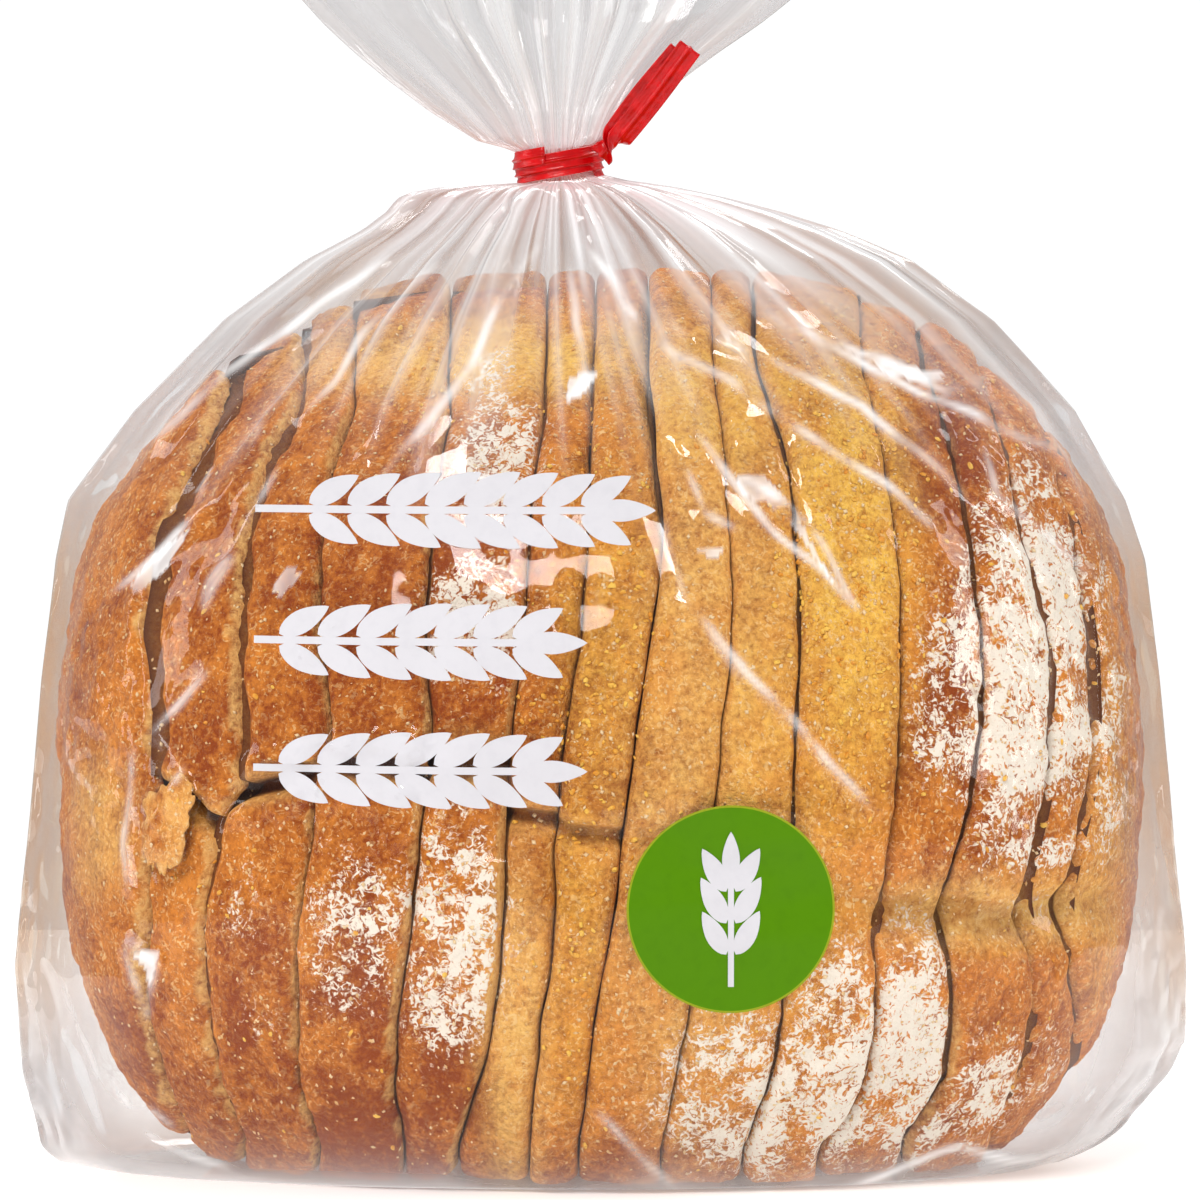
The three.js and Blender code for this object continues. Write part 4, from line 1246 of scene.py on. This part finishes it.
def makePrint():
    tree = rayTree([filmPiece])
    points, faces = [], []
    for start, end, height in ears["rows"]:
        addEar(tree, points, faces, (start, height), end - start, 0, ears)
    field = makePiece("print_ears", points, faces)
    points, faces = [], []
    turns = np.linspace(0, 2 * np.pi, 121)[:-1]

    def circle(radius):
        return [(badge["x"] + radius * math.cos(t), badge["z"] + radius * math.sin(t)) for t in turns]

    addFan(tree, points, faces, circle(badge["radius"]), badge["standOff"], rings=16)
    disc = makePiece("print_badge", points, faces)
    points, faces = [], []
    for pair in zip(circle(badge["radius"]), circle(badge["radius"] + badge["rim"])):
        points += [filmFront(tree, x, z, badge["standOff"]) for x, z in pair]
    for j in range(len(turns)):
        after = (j + 1) % len(turns)
        faces.append((2 * j, 2 * j + 1, 2 * after + 1, 2 * after))
    edge = makePiece("print_badge_rim", points, faces)
    points, faces = [], []
    foot = (badge["x"], badge["z"] + badge["earBottom"])
    look = dict(ears, standOff=badge["earStandOff"])
    addEar(tree, points, faces, foot, badge["earTop"] - badge["earBottom"], 90, look, badge["earScale"])
    sprig = makePiece("print_badge_ear", points, faces)
    for piece, material, slot in ((field, whiteInk, "print_white"), (disc, greenInk, "print_green"),
                                  (edge, rimInk, "print_green"), (sprig, whiteInk, "print_white")):
        piece.data.materials.append(material)
        piece.visible_shadow = False
        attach(piece, "root")


makePrint()
print("print made")

# the tie


def ribbonSection(width):  # a flat ribbon with a wire along its middle, as places across and above
    places = np.linspace(-1, 1, 31)
    rise = tie["thickness"] + tie["wire"] * np.exp(-(places / 0.17) ** 2)
    rise = rise + tie["selvedge"] * np.exp(-((np.abs(places) - 0.9) / 0.08) ** 2)
    top = np.column_stack([places * width / 2, rise])
    return np.concatenate([top, top[::-1] * [1, -1]])


def sweepRibbon(centres, across, outward, width, seed):  # carries the section along a path
    section = ribbonSection(width)
    rings = centres[:, None] + across[:, None] * section[None, :, :1]
    rings = rings + outward[:, None] * section[None, :, 1:]
    count = len(section)
    places = np.repeat(np.linspace(0, len(centres) * 0.04, len(centres)), count)
    sideways, above = (np.tile(section[:, i], len(centres)) for i in (0, 1))
    wrinkle = np.column_stack([places, sideways * 2.2, np.sign(above) * 3.0 + seed])
    wrinkle = tie["wrinkle"] * softNoise(wrinkle, 1.0, 101)
    rings = rings + outward[:, None] * wrinkle.reshape(rings.shape[:2])[..., None]
    faces = gridFaces(len(rings), count, True)
    half = count // 2
    for base in (0, (len(rings) - 1) * count):
        for j in range(half - 1):
            faces.append((base + j, base + j + 1, base + count - 2 - j, base + count - 1 - j))
    return rings.reshape(-1, 3), faces


def curveThrough(stops, steps):  # a smooth path through four places
    stops = np.asarray(stops)
    ends = np.concatenate([[2 * stops[0] - stops[1]], stops, [2 * stops[-1] - stops[-2]]])
    path = []
    for i in range(1, len(ends) - 2):
        for t in np.linspace(0, 1, steps, endpoint=i == len(ends) - 3):
            a, b, c, d = ends[i - 1:i + 3]
            path.append(0.5 * (2 * b + (c - a) * t + (2 * a - 5 * b + 4 * c - d) * t ** 2
                               + (3 * b - a - 3 * c + d) * t ** 3))
    return np.array(path)


def makeTie():
    parts = []
    turns = np.linspace(0, tie["turns"], 220)
    angle = 2 * np.pi * turns - 0.6
    reach = np.array(tie["bandReach"])[None, :] + 0.16 * turns[:, None] - 0.2
    lift = (turns - tie["turns"] / 2) * tie["pitch"]
    centres = np.column_stack([reach[:, 0] * np.cos(angle), reach[:, 1] * np.sin(angle), lift])
    outward = unit(np.column_stack([np.cos(angle), np.sin(angle), 0 * angle]))
    shingle = math.radians(tie["shingle"])
    up = np.array([0, 0, 1.0])
    across = outward * math.sin(-shingle) + up * math.cos(shingle)
    facing = outward * math.cos(shingle) + up * math.sin(shingle)
    parts.append(sweepRibbon(centres, across, facing, tie["bandWidth"], 3))
    slope, lean = math.radians(tie["slope"]), math.radians(tie["lean"])
    forward = np.array([math.cos(slope), -math.sin(lean), math.sin(slope)])
    sideways = np.array([-math.sin(slope), 0, math.cos(slope)])
    frontward = np.array([0, -1.0, 0])
    for turn, length, lifts, shifts in tie["tails"]:
        stops = [np.array(tie["tailStart"]) + forward * stop + frontward * lifts[i] + sideways * shifts[i]
                 for i, stop in enumerate((0, tie["twistLength"] * 0.6, length * 0.55, length))]
        path = curveThrough(stops, 30)
        ahead = unit(np.gradient(path, axis=0))
        flat = unit(np.cross(ahead, frontward))
        walked = np.concatenate([[0], np.cumsum(np.linalg.norm(np.diff(path, axis=0), axis=1))])
        roll = np.radians(turn) * (1 - smoothStep(0, tie["twistLength"], walked))[:, None]
        side = unit(flat * np.cos(roll) + np.cross(ahead, flat) * np.sin(roll))
        parts.append(sweepRibbon(path, side, np.cross(ahead, side), tie["width"], turn))
    tilt = math.radians(-tie["tilt"])
    points, faces = [], []
    for part, partFaces in parts:
        start = sum(len(p) for p in points)
        x, y, z = part[:, 0], part[:, 1], part[:, 2]
        turnedX, turnedZ = x * math.cos(tilt) + z * math.sin(tilt), z * math.cos(tilt) - x * math.sin(tilt)
        points.append(np.column_stack([turnedX, y, turnedZ]) + tie["centre"])
        faces += [tuple(start + v for v in face) for face in partFaces]
    piece = makePiece("tie_ribbon", np.concatenate(points), faces)
    piece.data.materials.append(redRibbon)
    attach(piece, "root")
    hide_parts("twist_tie")


makeTie()
print("tie made")

# floor, light and camera

studio = {
    "aim": (0, 0, 0.094), "distance": 1.8, "elevation": 2.0, "lens": 324.0,
    "world": 0.4, "seen": 1.05, "floorGlow": 0.3, "floorReach": 600, "floorHeight": -0.4,
    "lights": {  # place, what it points at, size and power
        "frontPanel": ((-0.4, -1.25, 1.45), (0, 0, 0.09), (0.8, 0.5), 22.0),
        "leftStrip": ((-0.95, 0.05, 0.5), (0, 0, 0.1), (0.16, 0.9), 2.2),
        "rightStrip": ((0.95, -0.1, 0.5), (0, 0, 0.1), (0.16, 0.9), 2.6),
        "topBack": ((0.1, 0.7, 0.9), (0, 0, 0.12), (0.9, 0.25), 6.0),
    },
}


def makeFloor():
    reach, z = studio["floorReach"], studio["floorHeight"]
    corners = [(-reach, -reach, z), (reach, -reach, z), (reach, reach, z), (-reach, reach, z)]
    floor = makePiece("studioFloor", corners, [(0, 1, 2, 3)])
    material = newMaterial("paleFloor")
    tree = material.node_tree
    specks = useGroup(tree, fineSpecks, Scale=60.0, Amount=0.3, Softness=0.3)
    colour = mixColour(tree, specks.outputs["Mask"], (0.9, 0.9, 0.9, 1), (0.88, 0.88, 0.88, 1))
    surface = finishSurface(tree, colour, 0.9)
    surface.inputs["Emission Color"].default_value = (1, 1, 1, 1)
    surface.inputs["Emission Strength"].default_value = studio["floorGlow"]
    floor.data.materials.append(material)


def makeWorld():
    world = bpy.data.worlds.new("studioWorld")
    world.use_nodes = True
    tree = world.node_tree
    tree.nodes.clear()
    path = addNode(tree, "ShaderNodeLightPath")
    lit = addNode(tree, "ShaderNodeBackground", {"Color": (1, 1, 1, 1), "Strength": studio["world"]})
    seen = addNode(tree, "ShaderNodeBackground", {"Color": (1, 1, 1, 1), "Strength": studio["seen"]})
    mixed = addNode(tree, "ShaderNodeMixShader",
                    {0: path.outputs["Is Camera Ray"], 1: lit.outputs[0], 2: seen.outputs[0]})
    addNode(tree, "ShaderNodeOutputWorld", {"Surface": mixed.outputs[0]})
    bpy.context.scene.world = world


def makeLight(name, place, aim, size, power):
    light = bpy.data.lights.new(name, "AREA")
    light.shape = "RECTANGLE"
    light.size, light.size_y = size
    light.energy = power
    lamp = bpy.data.objects.new(name, light)
    lamp.location = place
    lamp.rotation_euler = (Vector(aim) - Vector(place)).to_track_quat("-Z", "Y").to_euler()
    bpy.context.scene.collection.objects.link(lamp)


def makeCamera():
    tilt = math.radians(studio["elevation"])
    aim = Vector(studio["aim"])
    place = aim + Vector((0, -math.cos(tilt), math.sin(tilt))) * studio["distance"]
    data = bpy.data.cameras.new("camera")
    data.lens = studio["lens"]
    data.sensor_width = 36
    data.clip_start = 0.01
    camera = bpy.data.objects.new("camera", data)
    camera.location = place
    camera.rotation_euler = (aim - place).to_track_quat("-Z", "Y").to_euler()
    bpy.context.scene.collection.objects.link(camera)
    bpy.context.scene.camera = camera


makeFloor()
makeWorld()
for name, values in studio["lights"].items():
    makeLight(name, *values)
makeCamera()
bpy.context.scene.view_settings.view_transform = "Standard"
bpy.context.scene.cycles.max_bounces = 3
bpy.context.scene.cycles.diffuse_bounces = 2
bpy.context.scene.cycles.glossy_bounces = 1
bpy.context.scene.cycles.use_light_tree = False
print("studio made")
